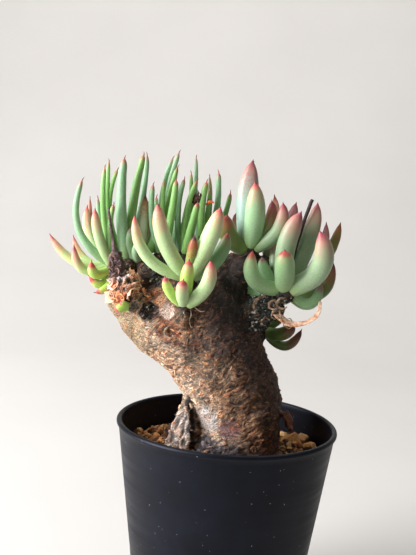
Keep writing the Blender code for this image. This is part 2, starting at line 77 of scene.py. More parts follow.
# %% Helpers for places, colours and nodes
def mm(*values):
    """A place in metres from three lengths in millimetres."""
    return Vector(values) * MM


def per(size):
    """The texture scale that makes features of about this many millimetres."""
    return 1.0 / (size * MM)


def colour(code):
    """An sRGB hex colour as linear red, green, blue and a full alpha."""
    channels = [int(code[i:i + 2], 16) / 255.0 for i in (0, 2, 4)]
    linear = [c / 12.92 if c <= 0.04045 else ((c + 0.055) / 1.055) ** 2.4 for c in channels]
    return (*linear, 1.0)


def live(sockets, key):
    """A socket by its number, or the one in use that has this name."""
    if isinstance(key, int):
        return sockets[key]
    return next(s for s in sockets if s.enabled and s.name == key)


def add(tree, kind, links=None, **settings):
    """Add a node. Links hold values, sockets, or nodes whose first output in use is meant."""
    node = tree.nodes.new(kind)
    for name, value in settings.items():
        setattr(node, name, value)
    for key, value in (links or {}).items():
        socket = live(node.inputs, key)
        if isinstance(value, bpy.types.Node):
            value = next(s for s in value.outputs if s.enabled)
        if isinstance(value, bpy.types.NodeSocket):
            tree.links.new(value, socket)
        else:
            socket.default_value = value
    return node


def smoothstep(low, high, value):
    """Rise from 0 at low to 1 at high."""
    share = np.clip((value - low) / (high - low), 0.0, 1.0)
    return share * share * (3.0 - 2.0 * share)


# %% Helpers for objects
def add_object(name, mesh):
    """Put a mesh in the scene under a plain name."""
    made = bpy.data.objects.new(name, mesh)
    bpy.context.scene.collection.objects.link(made)
    return made


def from_bmesh(name, shape):
    """Put a bmesh in the scene."""
    mesh = bpy.data.meshes.new(name)
    shape.to_mesh(mesh)
    shape.free()
    return add_object(name, mesh)


def bake(made):
    """Replace an object's mesh with what its modifiers make of it, and drop the modifiers."""
    graph = bpy.context.evaluated_depsgraph_get()
    mesh = bpy.data.meshes.new_from_object(made.evaluated_get(graph))
    made.modifiers.clear()
    made.data = mesh
    return made


def faces_of(made):
    """The number of triangles in a finished mesh."""
    made.data.calc_loop_triangles()
    return len(made.data.loop_triangles)


def place(made, slot, *nodes):
    """Let a finished piece ride on the plant's one body; its slot, what the piece stands for, is not used."""
    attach(made, "root")
    if nodes:
        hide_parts(*nodes)
    print(made.name, faces_of(made), "triangles")
    return made


def new_material(name, settings):
    """A Principled material with these inputs set, its node tree and its shader."""
    made = bpy.data.materials.new(name)
    made.use_nodes = True
    tree = made.node_tree
    shader = tree.nodes["Principled BSDF"]
    for key, value in settings.items():
        shader.inputs[key].default_value = value
    return made, tree, shader


def new_tree(name, inputs):
    """An empty Geometry Nodes tree with a mesh going in and out and its named inputs."""
    tree = bpy.data.node_groups.new(name, "GeometryNodeTree")
    tree.interface.new_socket("Geometry", in_out="INPUT", socket_type="NodeSocketGeometry")
    tree.interface.new_socket("Geometry", in_out="OUTPUT", socket_type="NodeSocketGeometry")
    for label, kind in inputs:
        tree.interface.new_socket(label, in_out="INPUT", socket_type="NodeSocket" + kind)
    return tree, add(tree, "NodeGroupInput").outputs


def close_tree(tree, geometry, finish, smooth=True):
    """End a tree: real meshes in place of instances, smooth or faceted, in one material."""
    real = add(tree, "GeometryNodeRealizeInstances", {"Geometry": geometry})
    shaded = add(tree, "GeometryNodeSetShadeSmooth", {"Geometry": real, "Shade Smooth": smooth})
    painted = add(tree, "GeometryNodeSetMaterial", {"Geometry": shaded, "Material": finish})
    add(tree, "NodeGroupOutput", {"Geometry": painted})
    return tree


def grow(made, tree, values):
    """Run a Geometry Nodes tree on an object and keep the result as a plain mesh."""
    step = made.modifiers.new(tree.name, "NODES")
    step.node_group = tree
    for item in tree.interface.items_tree:
        if item.in_out == "INPUT" and item.name in values:
            step[item.identifier] = values[item.name]
    return bake(made)


# %% [markdown]
# The camera comes first, so that every later choice can be judged from it. It stands 35 cm in
# front of the rim, looks down by less than seven degrees and is rolled a little, as a hand holds
# a telephone. Its place is worked out from where the middle of the pot's rim lies in the view.

# %% Set up the camera
FRAME_HEIGHT = 555.0
FOCAL_PIXELS = 850.0
SENSOR = 36.0
ELEVATION = math.radians(6.64)
ROLL = math.radians(3.73)
RIM_IN_VIEW = mm(7.7, -58.7, 348.8)

level = Vector((1.0, 0.0, 0.0))
ahead = Vector((0.0, math.cos(ELEVATION), -math.sin(ELEVATION)))
above = level.cross(ahead)
right = level * math.cos(ROLL) + above * math.sin(ROLL)
up = above * math.cos(ROLL) - level * math.sin(ROLL)
rim_centre = Vector((0.0, 0.0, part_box("pot")[1].z))
eye = rim_centre - right * RIM_IN_VIEW.x - up * RIM_IN_VIEW.y - ahead * RIM_IN_VIEW.z

lens = bpy.data.cameras.new("Camera")
lens.sensor_fit = "VERTICAL"
lens.sensor_height = SENSOR
lens.lens = FOCAL_PIXELS / FRAME_HEIGHT * SENSOR
lens.clip_start = 0.01
camera = bpy.data.objects.new("Camera", lens)
bpy.context.scene.collection.objects.link(camera)
camera.matrix_world = Matrix.Translation(eye) @ Matrix((right, up, -ahead)).transposed().to_4x4()
bpy.context.scene.camera = camera
print("The camera stands at", [round(c / MM, 1) for c in eye], "mm")

# %% [markdown]
# The pot is thin black polypropylene, blown or injected in one go and carried around for a
# season: matt, with a faint grey bloom, level bands from the tool, and pale specks of dust that
# stick to it. It is a turned shape, so one profile and a Screw modifier make it.

# %% Turn the pot
POT_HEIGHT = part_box("pot")[1].z / MM
RIM_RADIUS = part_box("pot")[1].x / MM
BASE_RADIUS = 32.6
TOP_RADIUS = 44.4
WALL = 1.2
FLOOR = 1.6
BEAD = 1.1
FOOT_BEVEL = 1.2
POT_STEPS = 144
BAND_HEIGHT = 0.05
BANDS = 46
DRAIN_HOLES = 8
DRAIN_RADIUS = 2.5
DRAIN_CIRCLE = 20.0


def wall_radius(height):
    """The outer radius of the pot's wall at a height."""
    return BASE_RADIUS + (TOP_RADIUS - BASE_RADIUS) * height / POT_HEIGHT


def pot_profile():
    """Radius and height down the pot's inside, over its bead and down its outside."""
    middle = POT_HEIGHT - BEAD
    points = [
        (0.0, FLOOR),
        (BASE_RADIUS - 2.0 * WALL, FLOOR),
        (wall_radius(2.0 * FLOOR) - WALL, 2.0 * FLOOR),
        (wall_radius(middle) - WALL, middle - BEAD),
    ]
    for degrees in range(165, -51, -18):
        turn = math.radians(degrees)
        points.append((RIM_RADIUS - BEAD + BEAD * math.cos(turn), middle + BEAD * math.sin(turn)))
    top, bottom = middle - BEAD, FOOT_BEVEL
    for k in range(BANDS + 1):
        height = top + (bottom - top) * k / BANDS
        band = BAND_HEIGHT * noise.noise(Vector((0.0, 0.0, height / 2.2)))
        points.append((wall_radius(height) + band, height))
    points += [(BASE_RADIUS - FOOT_BEVEL, 0.0), (0.0, 0.0)]
    return points


def turn_pot(finish):
    """The pot as a turned mesh with its drain holes bored."""
    profile = [mm(radius, 0.0, height) for radius, height in pot_profile()]
    mesh = bpy.data.meshes.new("nursery_pot")
    mesh.from_pydata(profile, [(i, i + 1) for i in range(len(profile) - 1)], [])
    pot = add_object("nursery_pot", mesh)
    turned = pot.modifiers.new("Turned", "SCREW")
    turned.steps = POT_STEPS
    turned.render_steps = POT_STEPS
    turned.use_merge_vertices = True
    turned.merge_threshold = 0.01 * MM
    bake(pot)
    for k in range(DRAIN_HOLES):
        turn = 2.0 * math.pi * k / DRAIN_HOLES
        drill = bmesh.new()
        bmesh.ops.create_cone(drill, cap_ends=True, segments=24, radius1=DRAIN_RADIUS * MM,
                              radius2=DRAIN_RADIUS * MM, depth=4.0 * FLOOR * MM)
        where = mm(DRAIN_CIRCLE * math.cos(turn), DRAIN_CIRCLE * math.sin(turn), 0.0)
        bmesh.ops.translate(drill, verts=drill.verts, vec=where)
        cutter = from_bmesh("drill", drill)
        cut = pot.modifiers.new("Hole", "BOOLEAN")
        cut.object = cutter
        bake(pot)
        bpy.data.objects.remove(cutter)
    pot.data.materials.clear()
    pot.data.materials.append(finish)
    pot.data.shade_smooth()
    pot.data.set_sharp_from_angle(angle=math.radians(50.0))
    return pot


# %% Mix the pot's plastic
def pot_plastic():
    """Matt black polypropylene: a low sheen, level tool marks, handling bloom and dust."""
    # Painted reflection: the specular tint turns the plastic's sheen a little blue, like the cool daylight it reflects.
    made, tree, shader = new_material("moulded_black_polypropylene", {
        "IOR": 1.49, "Specular IOR Level": 0.19, "Specular Tint": colour("DEE4F8")})
    where = add(tree, "ShaderNodeTexCoord").outputs["Object"]
    cloud = add(tree, "ShaderNodeTexNoise", {"Vector": where, "Scale": per(14.0), "Detail": 5.0})
    tone = add(tree, "ShaderNodeValToRGB", {0: cloud})
    tone.color_ramp.elements[0].position = 0.3
    tone.color_ramp.elements[0].color = colour("08090D")
    tone.color_ramp.elements[1].position = 0.75
    tone.color_ramp.elements[1].color = colour("10121A")
    flat = add(tree, "ShaderNodeMapping", {"Vector": where, "Scale": (1.0, 1.0, 22.0)})
    bands = add(tree, "ShaderNodeTexNoise", {"Vector": flat, "Scale": per(60.0), "Detail": 4.0})
    cells = add(tree, "ShaderNodeTexVoronoi", {"Vector": where, "Scale": per(1.4)})
    few = add(tree, "ShaderNodeSeparateColor", {"Color": cells.outputs["Color"]})
    size = add(tree, "ShaderNodeMapRange", {0: few.outputs[0], 1: 0.8, 2: 1.0, 3: 0.0, 4: 0.13})
    dust = add(tree, "ShaderNodeMath", {0: cells.outputs["Distance"], 1: size}, operation="LESS_THAN")
    faint = add(tree, "ShaderNodeMath", {0: dust, 1: 0.6}, operation="MULTIPLY")
    dusty = add(tree, "ShaderNodeMix", {"Factor": faint, "A": tone, "B": colour("C4CAD2")},
                data_type="RGBA")
    tree.links.new(dusty.outputs[2], shader.inputs["Base Color"])
    rough = add(tree, "ShaderNodeMapRange", {0: bands, 1: 0.3, 2: 0.7, 3: 0.38, 4: 0.52})
    tree.links.new(rough.outputs[0], shader.inputs["Roughness"])
    grain = add(tree, "ShaderNodeTexNoise", {"Vector": where, "Scale": per(0.7), "Detail": 3.0})
    relief = add(tree, "ShaderNodeBump", {"Height": grain, "Strength": 0.12, "Distance": 0.1 * MM})
    tree.links.new(relief.outputs[0], shader.inputs["Normal"])
    return made


pot = turn_pot(pot_plastic())
place(pot, "pot_plastic", "pot")

# %% [markdown]
# One tree serves everything that follows a path here: leaves, twigs, roots and fibres. It is
# given strips of edges whose points carry a half width and the direction of their upper face, and
# it sweeps a section along them. The section is a circle, flattened, with a groove in its upper
# face. A little noise at the end takes away the evenness of a machine.

# %% Build the tree that sweeps sections along paths
def sweeping_tree():
    """Tubes along strips of edges, closed at both ends."""
    tree, given = new_tree("sections_along_paths", (
        ("Sides", "Int"), ("Flatness", "Float"), ("Groove", "Float"),
        ("Wobble", "Float"), ("Wobble Size", "Float"), ("Finish", "Material")))
    paths = add(tree, "GeometryNodeMeshToCurve", {"Mesh": given["Geometry"]})
    upper = add(tree, "GeometryNodeInputNamedAttribute", {"Name": "upper"}, data_type="FLOAT_VECTOR")
    width = add(tree, "GeometryNodeInputNamedAttribute", {"Name": "half_width"}, data_type="FLOAT")
    along = add(tree, "GeometryNodeInputTangent")
    lean = add(tree, "ShaderNodeVectorMath", {0: upper, 1: along}, operation="DOT_PRODUCT")
    part = add(tree, "ShaderNodeVectorMath", {0: along, "Scale": lean.outputs["Value"]}, operation="SCALE")
    square = add(tree, "ShaderNodeVectorMath", {0: upper, 1: part}, operation="SUBTRACT")
    turned = add(tree, "GeometryNodeSetCurveNormal", {"Curve": paths, "Normal": square}, mode="FREE")
    circle = add(tree, "GeometryNodeCurvePrimitiveCircle", {"Resolution": given["Sides"], "Radius": 1.0})
    at = add(tree, "ShaderNodeSeparateXYZ", {0: add(tree, "GeometryNodeInputPosition")})
    side = add(tree, "ShaderNodeMath", {0: at.outputs["Y"], 1: at.outputs["Y"]}, operation="MULTIPLY")
    near = add(tree, "ShaderNodeMapRange", {0: side, 1: 0.0, 2: 0.45, 3: 1.0, 4: 0.0}, interpolation_type="SMOOTHSTEP")
    front = add(tree, "ShaderNodeMath", {0: at.outputs["X"], 1: 0.0}, operation="GREATER_THAN")
    dip = add(tree, "ShaderNodeMath", {0: near, 1: front}, operation="MULTIPLY")
    depth = add(tree, "ShaderNodeMath", {0: dip, 1: given["Groove"]}, operation="MULTIPLY")
    kept = add(tree, "ShaderNodeMath", {0: 1.0, 1: depth}, operation="SUBTRACT")
    squeeze = add(tree, "ShaderNodeMath", {0: kept, 1: given["Flatness"]}, operation="MULTIPLY")
    thick = add(tree, "ShaderNodeMath", {0: at.outputs["X"], 1: squeeze}, operation="MULTIPLY")
    spot = add(tree, "ShaderNodeCombineXYZ", {0: thick, 1: at.outputs["Y"]})
    section = add(tree, "GeometryNodeSetPosition", {"Geometry": circle.outputs["Curve"], "Position": spot})
    tubes = add(tree, "GeometryNodeCurveToMesh", {
        "Curve": turned, "Profile Curve": section, "Scale": width.outputs["Attribute"], "Fill Caps": True})
    scale = add(tree, "ShaderNodeMath", {0: 1.0, 1: given["Wobble Size"]}, operation="DIVIDE")
    lumps = add(tree, "ShaderNodeTexNoise", {"Scale": scale, "Detail": 2.0})
    centred = add(tree, "ShaderNodeVectorMath", {0: lumps.outputs["Color"], 1: (0.5, 0.5, 0.5)}, operation="SUBTRACT")
    shift = add(tree, "ShaderNodeVectorMath", {0: centred, "Scale": given["Wobble"]}, operation="SCALE")
    uneven = add(tree, "GeometryNodeSetPosition", {"Geometry": tubes, "Offset": shift})
    return close_tree(tree, uneven, given["Finish"])


SWEEP = sweeping_tree()


def path_mesh(name, strips):
    """A mesh of open strips. A strip is its points, half widths, upper side, and facts."""
    points, edges, widths, uppers = [], [], [], []
    facts = {}
    for strip in strips:
        first = len(points)
        points += strip["points"]
        edges += [(i, i + 1) for i in range(first, len(points) - 1)]
        widths += strip["widths"]
        uppers += [strip["upper"]] * len(strip["points"])
        for key, value in strip["facts"].items():
            values = value if isinstance(value, list) else [value] * len(strip["points"])
            facts.setdefault(key, []).extend(values)
    mesh = bpy.data.meshes.new(name)
    mesh.from_pydata(points, edges, [])
    for key, values in {"half_width": widths, "upper": uppers, **facts}.items():
        size = 1 if isinstance(values[0], float) else len(values[0])
        kind, field = {1: ("FLOAT", "value"), 3: ("FLOAT_VECTOR", "vector"), 4: ("FLOAT_COLOR", "color")}[size]
        mesh.attributes.new(key, kind, "POINT").data.foreach_set(field, np.array(values, float).ravel())
    return mesh


def sweep(name, strips, finish, sides, flatness=1.0, groove=0.0, wobble=0.0, wobble_size=3.0):
    """An object of closed tubes along strips."""
    made = add_object(name, path_mesh(name, strips))
    return grow(made, SWEEP, {
        "Sides": sides, "Flatness": flatness, "Groove": groove, "Wobble": wobble * MM,
        "Wobble Size": wobble_size * MM, "Finish": finish})


# %% [markdown]
# A finger leaf leaves its shoot outwards and turns up to the light. It is round, a little
# flattened, thickest in the middle, with a faint groove in its upper face, and it ends in a hard
# dark point. The paths below are those of the solids: a growing point with the radius of its
# core, then for each leaf its tip from there (right, away, up), its width and its bulge to the
# right, all in millimetres. The last word names how sun and age have coloured it.

# %% The leaves of each tuft
TUFTS = {
    "leaves_left": (
        ((-49.5, -2.0, 144.5), 3.8, (5, 22.0, 2.8, "ruddy"), (
            (-13.5, -4.0, 34.5, 2.8, -7.5, "blue"),
            (-5.5, 0.0, 40.0, 2.4, -2.0, "green"),
            (-4.5, 5.0, 42.5, 2.1, -1.5, "green"),
            (-0.5, -6.0, 26.0, 2.4, -1.5, "green"),
            (-8.5, 7.0, 27.5, 2.1, -1.5, "blue"),
            (-25.5, -1.0, 12.0, 3.3, -4.5, "ruddy"),
            (-15.0, -7.0, 9.0, 3.4, -6.0, "ruddy"),
            (-7.5, -10.0, 3.5, 3.6, -4.0, "lime"),
            (-8.5, -7.0, -2.5, 3.2, -4.5, "lime"),
            (-13.5, 5.0, 14.0, 3.3, 0.5, "peach"),
            (-7.5, -7.0, 23.5, 3.8, -1.5, "pale"),
            (-12.5, 6.0, 24.0, 3.5, -4.0, "peach"),
            (-12.0, 9.0, 27.5, 1.8, -3.0, "wine"),
            (-17.5, 6.0, 11.5, 2.5, -4.0, "ruddy"),
            (-5.5, -9.0, -8.5, 2.9, -2.5, "lime"),
        )),
        ((-44.5, -1.0, 146.5), 3.8, (0, 0.0, 0.0, ""), (
            (-6.0, 4.0, 37.5, 2.3, -5.0, "green"),
            (-2.5, -5.0, 42.0, 4.0, -1.5, "blue"),
            (1.5, 7.0, 37.0, 2.3, -1.0, "blue"),
            (4.5, 0.0, 44.0, 3.3, -1.0, "green"),
            (5.5, 5.0, 44.0, 2.5, 1.5, "blue"),
        )),
        ((-39.5, 0.5, 146.5), 3.0, (0, 0.0, 0.0, ""), (
            (-3.5, -4.0, 15.0, 3.7, -3.0, "stub"),
            (0.0, -5.0, 10.0, 2.8, -1.5, "stub"),
            (1.0, 0.5, 28.0, 3.7, 0.0, "scorched"),
            (2.5, 3.0, 21.0, 2.1, 1.0, "peach"),
            (6.0, 3.0, 22.0, 3.6, 2.0, "green"),
        )),
    ),
    "leaves_front": (
        ((-19.5, -13.0, 143.5), 3.6, (0, 0.0, 0.0, ""), (
            (-21.0, -7.0, 23.5, 4.0, -6.0, "pale"),
            (-12.5, -8.0, 28.5, 5.5, -2.5, "pale"),
            (11.0, -7.0, 28.5, 6.2, 1.0, "pale"),
            (14.5, 0.0, 19.0, 5.0, 3.4, "shade"),
            (2.0, -7.0, 17.5, 3.5, 0.0, "rusty"),
        )),
    ),
    "leaves_rear": (
        ((-30.5, 4.0, 148.5), 4.7, (3, 26.0, 2.6, "blue"), (
            (-5.0, -6.0, 30.5, 2.6, -2.0, "blue"),
            (-6.5, 1.0, 24.0, 3.0, -3.0, "green"),
            (1.5, 5.0, 41.5, 2.3, -3.0, "blue"),
            (4.0, 4.0, 44.0, 2.5, -2.0, "blue"),
            (4.0, -1.0, 38.0, 2.5, -1.5, "green"),
            (-1.0, -4.0, 32.0, 2.3, -0.5, "green"),
            (4.0, -6.0, 33.0, 3.1, 0.5, "green"),
        )),
        ((-22.0, 7.0, 149.0), 4.8, (3, 26.0, 2.6, "blue"), (
            (-1.5, -3.0, 33.0, 2.5, -2.5, "blue"),
            (2.5, 3.0, 42.0, 1.9, 1.5, "blue"),
            (1.0, -1.0, 35.5, 1.9, 1.0, "green"),
            (3.5, -6.0, 32.5, 2.5, -2.0, "green"),
            (4.5, -10.0, 24.0, 3.2, 0.0, "green"),
        )),
        ((-14.0, 9.0, 150.0), 4.6, (3, 24.0, 2.6, "blue"), (
            (-0.5, -7.0, 31.5, 2.9, -1.5, "green"),
            (0.5, 1.0, 34.0, 1.9, 1.0, "shade"),
            (1.0, -4.0, 28.5, 2.1, 0.0, "green"),
            (4.0, -1.0, 35.5, 2.7, 2.0, "blue"),
            (9.5, 3.0, 27.5, 2.5, 1.5, "green"),
        )),
    ),
    "leaves_right_upper": (
        ((4.5, 4.0, 154.5), 4.4, (4, 21.0, 4.2, "rose"), (
            (-1.0, 2.0, 36.5, 8.0, -1.5, "tall"),
            (0.0, -9.0, 28.0, 7.2, 1.0, "blush"),
            (-10.0, -7.0, 14.5, 6.6, -3.6, "ember"),
            (-6.0, 9.0, 15.0, 2.6, -2.0, "wine"),
            (7.5, -3.0, 21.0, 4.6, 3.0, "wine"),
            (9.0, 5.0, 23.0, 3.4, 4.0, "peach"),
            (11.5, -9.0, 20.5, 5.2, 4.5, "rose"),
        )),
    ),
    "leaves_right": (
        ((19.0, -5.0, 140.0), 4.8, (4, 24.0, 4.6, "rose"), (
            (3.5, 15.0, 35.0, 5.2, -1.0, "mauve"),
            (4.0, -3.0, 32.0, 6.8, -3.0, "rose"),
            (11.5, 8.0, 35.5, 6.2, 2.0, "rose"),
            (-2.0, -12.0, 17.5, 7.0, 0.0, "freckled"),
            (11.0, -11.0, 25.5, 7.4, 7.0, "rose"),
            (15.5, 7.0, 28.0, 3.6, 5.0, "mauve"),
            (22.0, 13.0, 28.0, 4.2, 4.5, "ember"),
            (19.0, 6.0, 13.0, 4.9, 8.0, "olive"),
            (15.0, 2.0, 4.0, 4.5, 6.5, "plain"),
            (-14.0, -8.0, 16.0, 5.5, -6.0, "freckled"),
            (-9.5, 3.0, 13.0, 4.5, -2.0, "plain"),
            (-16.0, 6.0, 8.0, 4.1, -7.0, "shade"),
        )),
    ),
    "leaves_low_right": (
        ((13.0, 10.0, 120.5), 3.0, (3, 11.0, 3.4, "olive"), (
            (12.0, -6.0, 5.0, 5.0, 2.0, "olive"),
            (15.5, -2.0, 2.5, 3.6, 6.0, "olive"),
            (8.0, 2.0, 6.0, 3.8, -1.0, "olive"),
        )),
    ),
    "leaves_front_shoot": (
        ((-20.0, -20.5, 134.5), 2.2, (0, 0.0, 0.0, ""), (
            (1.0, -3.0, 17.5, 4.6, 0.0, "lime"),
            (-0.5, -8.0, 10.5, 4.3, -0.5, "pale"),
            (9.0, -5.0, 18.0, 5.0, 3.5, "pale"),
            (-7.5, -5.0, 11.0, 3.4, -1.5, "lime"),
        )),
    ),
    "leaves_left_shoot": (
        ((-40.5, -17.5, 132.5), 1.6, (0, 0.0, 0.0, ""), (
            (-5.5, -2.0, -2.0, 3.2, 0.5, "lime"),
            (-4.0, -2.0, 1.5, 2.3, 0.0, "lime"),
        )),
    ),
}

# Body, blush and tip colour, how far up the blush begins, and the shape
LEAF_KINDS = {
    "blue": ("84AA80", "86A87C", "AC4A50", 0.90, "slender"),
    "green": ("80AE60", "8CAA62", "AE4648", 0.90, "slender"),
    "ruddy": ("B6CC88", "D0907C", "A84644", 0.60, "finger"),
    "peach": ("BACC98", "D29880", "AA4842", 0.55, "finger"),
    "pale": ("B4CE94", "D28F78", "B8524C", 0.68, "finger"),
    "stub": ("9CBC92", "A0B488", "9C8A78", 0.90, "finger"),
    "scorched": ("A6B48E", "9E6238", "42190F", 0.68, "finger"),
    "rusty": ("98B458", "A45C38", "4C2A24", 0.50, "finger"),
    "rose": ("8CA47E", "AE766A", "98404A", 0.64, "finger"),
    "tall": ("A4C2B0", "B27870", "8C3C40", 0.66, "ogive"),
    "mauve": ("8C9E7C", "A06E68", "8A3440", 0.48, "finger"),
    "blush": ("94B688", "BE8068", "B0443A", 0.68, "ogive"),
    "freckled": ("88A876", "A08A60", "A4483A", 0.80, "finger"),
    "shade": ("749C68", "8A7450", "963A36", 0.74, "finger"),
    "plain": ("80A472", "80A070", "8A6A60", 0.90, "finger"),
    "wine": ("8C9C62", "A8685A", "90323C", 0.50, "finger"),
    "ember": ("6C803C", "8E5232", "78301F", 0.66, "finger"),
    "olive": ("587234", "70422A", "5A2820", 0.54, "finger"),
    "lime": ("A8CC5C", "D09880", "B84642", 0.76, "finger"),
}
# Rounding of the last part of each shape of leaf: two powers
TIP_SHAPES = {"finger": (3.6, 0.65), "ogive": (3.0, 0.78)}

# %% Follow the leaves' paths
LEAF_THICKNESS = 0.86
LEAF_ROOT_DEPTH = 0.45
LEAF_OUTWARD = 0.3
LEAF_STEPS = 26
TIP_CROWDING = 1.35
WIDEST_AT = 0.45
ROOT_SHARE = 0.9
ROOT_ROUNDING = 0.05
SLENDER_WIDEST_AT = 0.2
SLENDER_END_SHARE = 0.6
SLENDER_ROUND_FROM = 0.9
FINGER_GAIN = 1.12
SLENDER_GAIN = 1.22
SPIKE_LENGTH = 0.9
SLENDER_SPIKE_LENGTH = 1.5
RED_TIP_LEAST = 1.2
RED_TIP_SHARE = 0.12
RED_TIP_MOST = 0.2
GOLDEN_ANGLE = 137.508
FAR_FAN_START = 45.0
FAR_FAN = 90.0
FAR_LEAN_LEAST = 20.0
FAR_LEAN_MOST = 48.0
FAR_BOW = 1.5
FAR_SHIFT = 2.0
LEAF_SEED = 5


def leaf_girth(t, shape):
    """The share of its full width that a leaf has at a share of its length."""
    slender = shape == "slender"
    widest = SLENDER_WIDEST_AT if slender else WIDEST_AT
    if t < widest:
        sole = min(1.0, 0.6 + 0.4 * t / ROOT_ROUNDING)
        return sole * (1.0 - (1.0 - ROOT_SHARE) * (1.0 - t / widest) ** 2)
    past = (t - widest) / (1.0 - widest)
    if not slender:
        square, blunt = TIP_SHAPES[shape]
        return (1.0 - past ** square) ** blunt
    round_off = max(0.0, (t - SLENDER_ROUND_FROM) / (1.0 - SLENDER_ROUND_FROM))
    return (1.0 - (1.0 - SLENDER_END_SHARE) * past) * (1.0 - round_off ** 2) ** 0.5


def far_leaves(number, length, width, kind, draw):
    """Leaves on the far side of a tuft, spread by the golden angle as in the solids."""
    leaves = []
    for k in range(number):
        turn = math.radians(FAR_FAN_START + (k + 0.5) * GOLDEN_ANGLE % FAR_FAN)
        share = (k + 0.5) / number
        lean = math.radians(FAR_LEAN_LEAST + (FAR_LEAN_MOST - FAR_LEAN_LEAST) * share)
        size = length * draw.uniform(0.82, 1.1)
        flat = size * math.sin(lean)
        right_by, away = flat * math.cos(turn), flat * math.sin(turn) + FAR_SHIFT
        bow = math.copysign(FAR_BOW, right_by)
        leaves.append((right_by, away, size * math.cos(lean), width * draw.uniform(0.85, 1.1), bow, kind))
    return leaves


def leaf_strip(centre, core, leaf, seed):
    """The path, half widths and colours of one leaf."""
    right_by, away, high, width, bow, kind = leaf
    body, blush, tint, start, shape = LEAF_KINDS[kind]
    slender = shape == "slender"
    width *= SLENDER_GAIN if slender else FINGER_GAIN
    reach = mm(right_by, away, high)
    root = centre + reach.normalized() * core * LEAF_ROOT_DEPTH * MM
    tip = centre + reach
    chord = tip - root
    across = Vector((chord.z, 0.0, -chord.x)).normalized()
    handle = (root + tip) / 2.0 + across * 2.0 * bow * MM
    handle.y += LEAF_OUTWARD * chord.y
    points, widths, stations = [], [], []
    for k in range(LEAF_STEPS):
        t = 1.0 - (1.0 - k / LEAF_STEPS) ** TIP_CROWDING
        points.append(root * (1.0 - t) ** 2 + handle * 2.0 * t * (1.0 - t) + tip * t * t)
        widths.append(width / 2.0 * MM * leaf_girth(t, shape))
        stations.append(0.96 * t)
    end = (tip - handle).normalized() * (SLENDER_SPIKE_LENGTH if slender else SPIKE_LENGTH) * MM
    hook = across * math.copysign(0.35, seed - 0.5) * MM if slender else Vector()
    points += [tip - end * 0.1, tip + end * 0.3, tip + end + hook]
    widths += [width * 0.075 * MM, 0.2 * MM, 0.04 * MM]
    stations += [0.965, 0.985, 1.0]
    red = min((RED_TIP_LEAST + RED_TIP_SHARE * width) * MM / reach.length, RED_TIP_MOST)
    facts = {"along": stations, "body": colour(body), "blush": colour(blush), "tint": colour(tint),
             "blush_start": start + 0.1 * (seed - 0.5), "red_start": 0.965 - red, "leaf_seed": seed}
    return {"points": points, "widths": widths, "upper": (0.0, -1.0 if away > 0.0 else 1.0, 0.0), "facts": facts}


# %% [markdown]
# Leaf skin is waxy and a little see-through: light goes in on the bright side and comes out
# yellow-green on the other. That is subsurface scattering with green reaching furthest. The
# colour follows the leaf, from the body over the sun's blush to the tip, and the point is nearly
# black. Each leaf carries its own three colours, so one material paints them all.

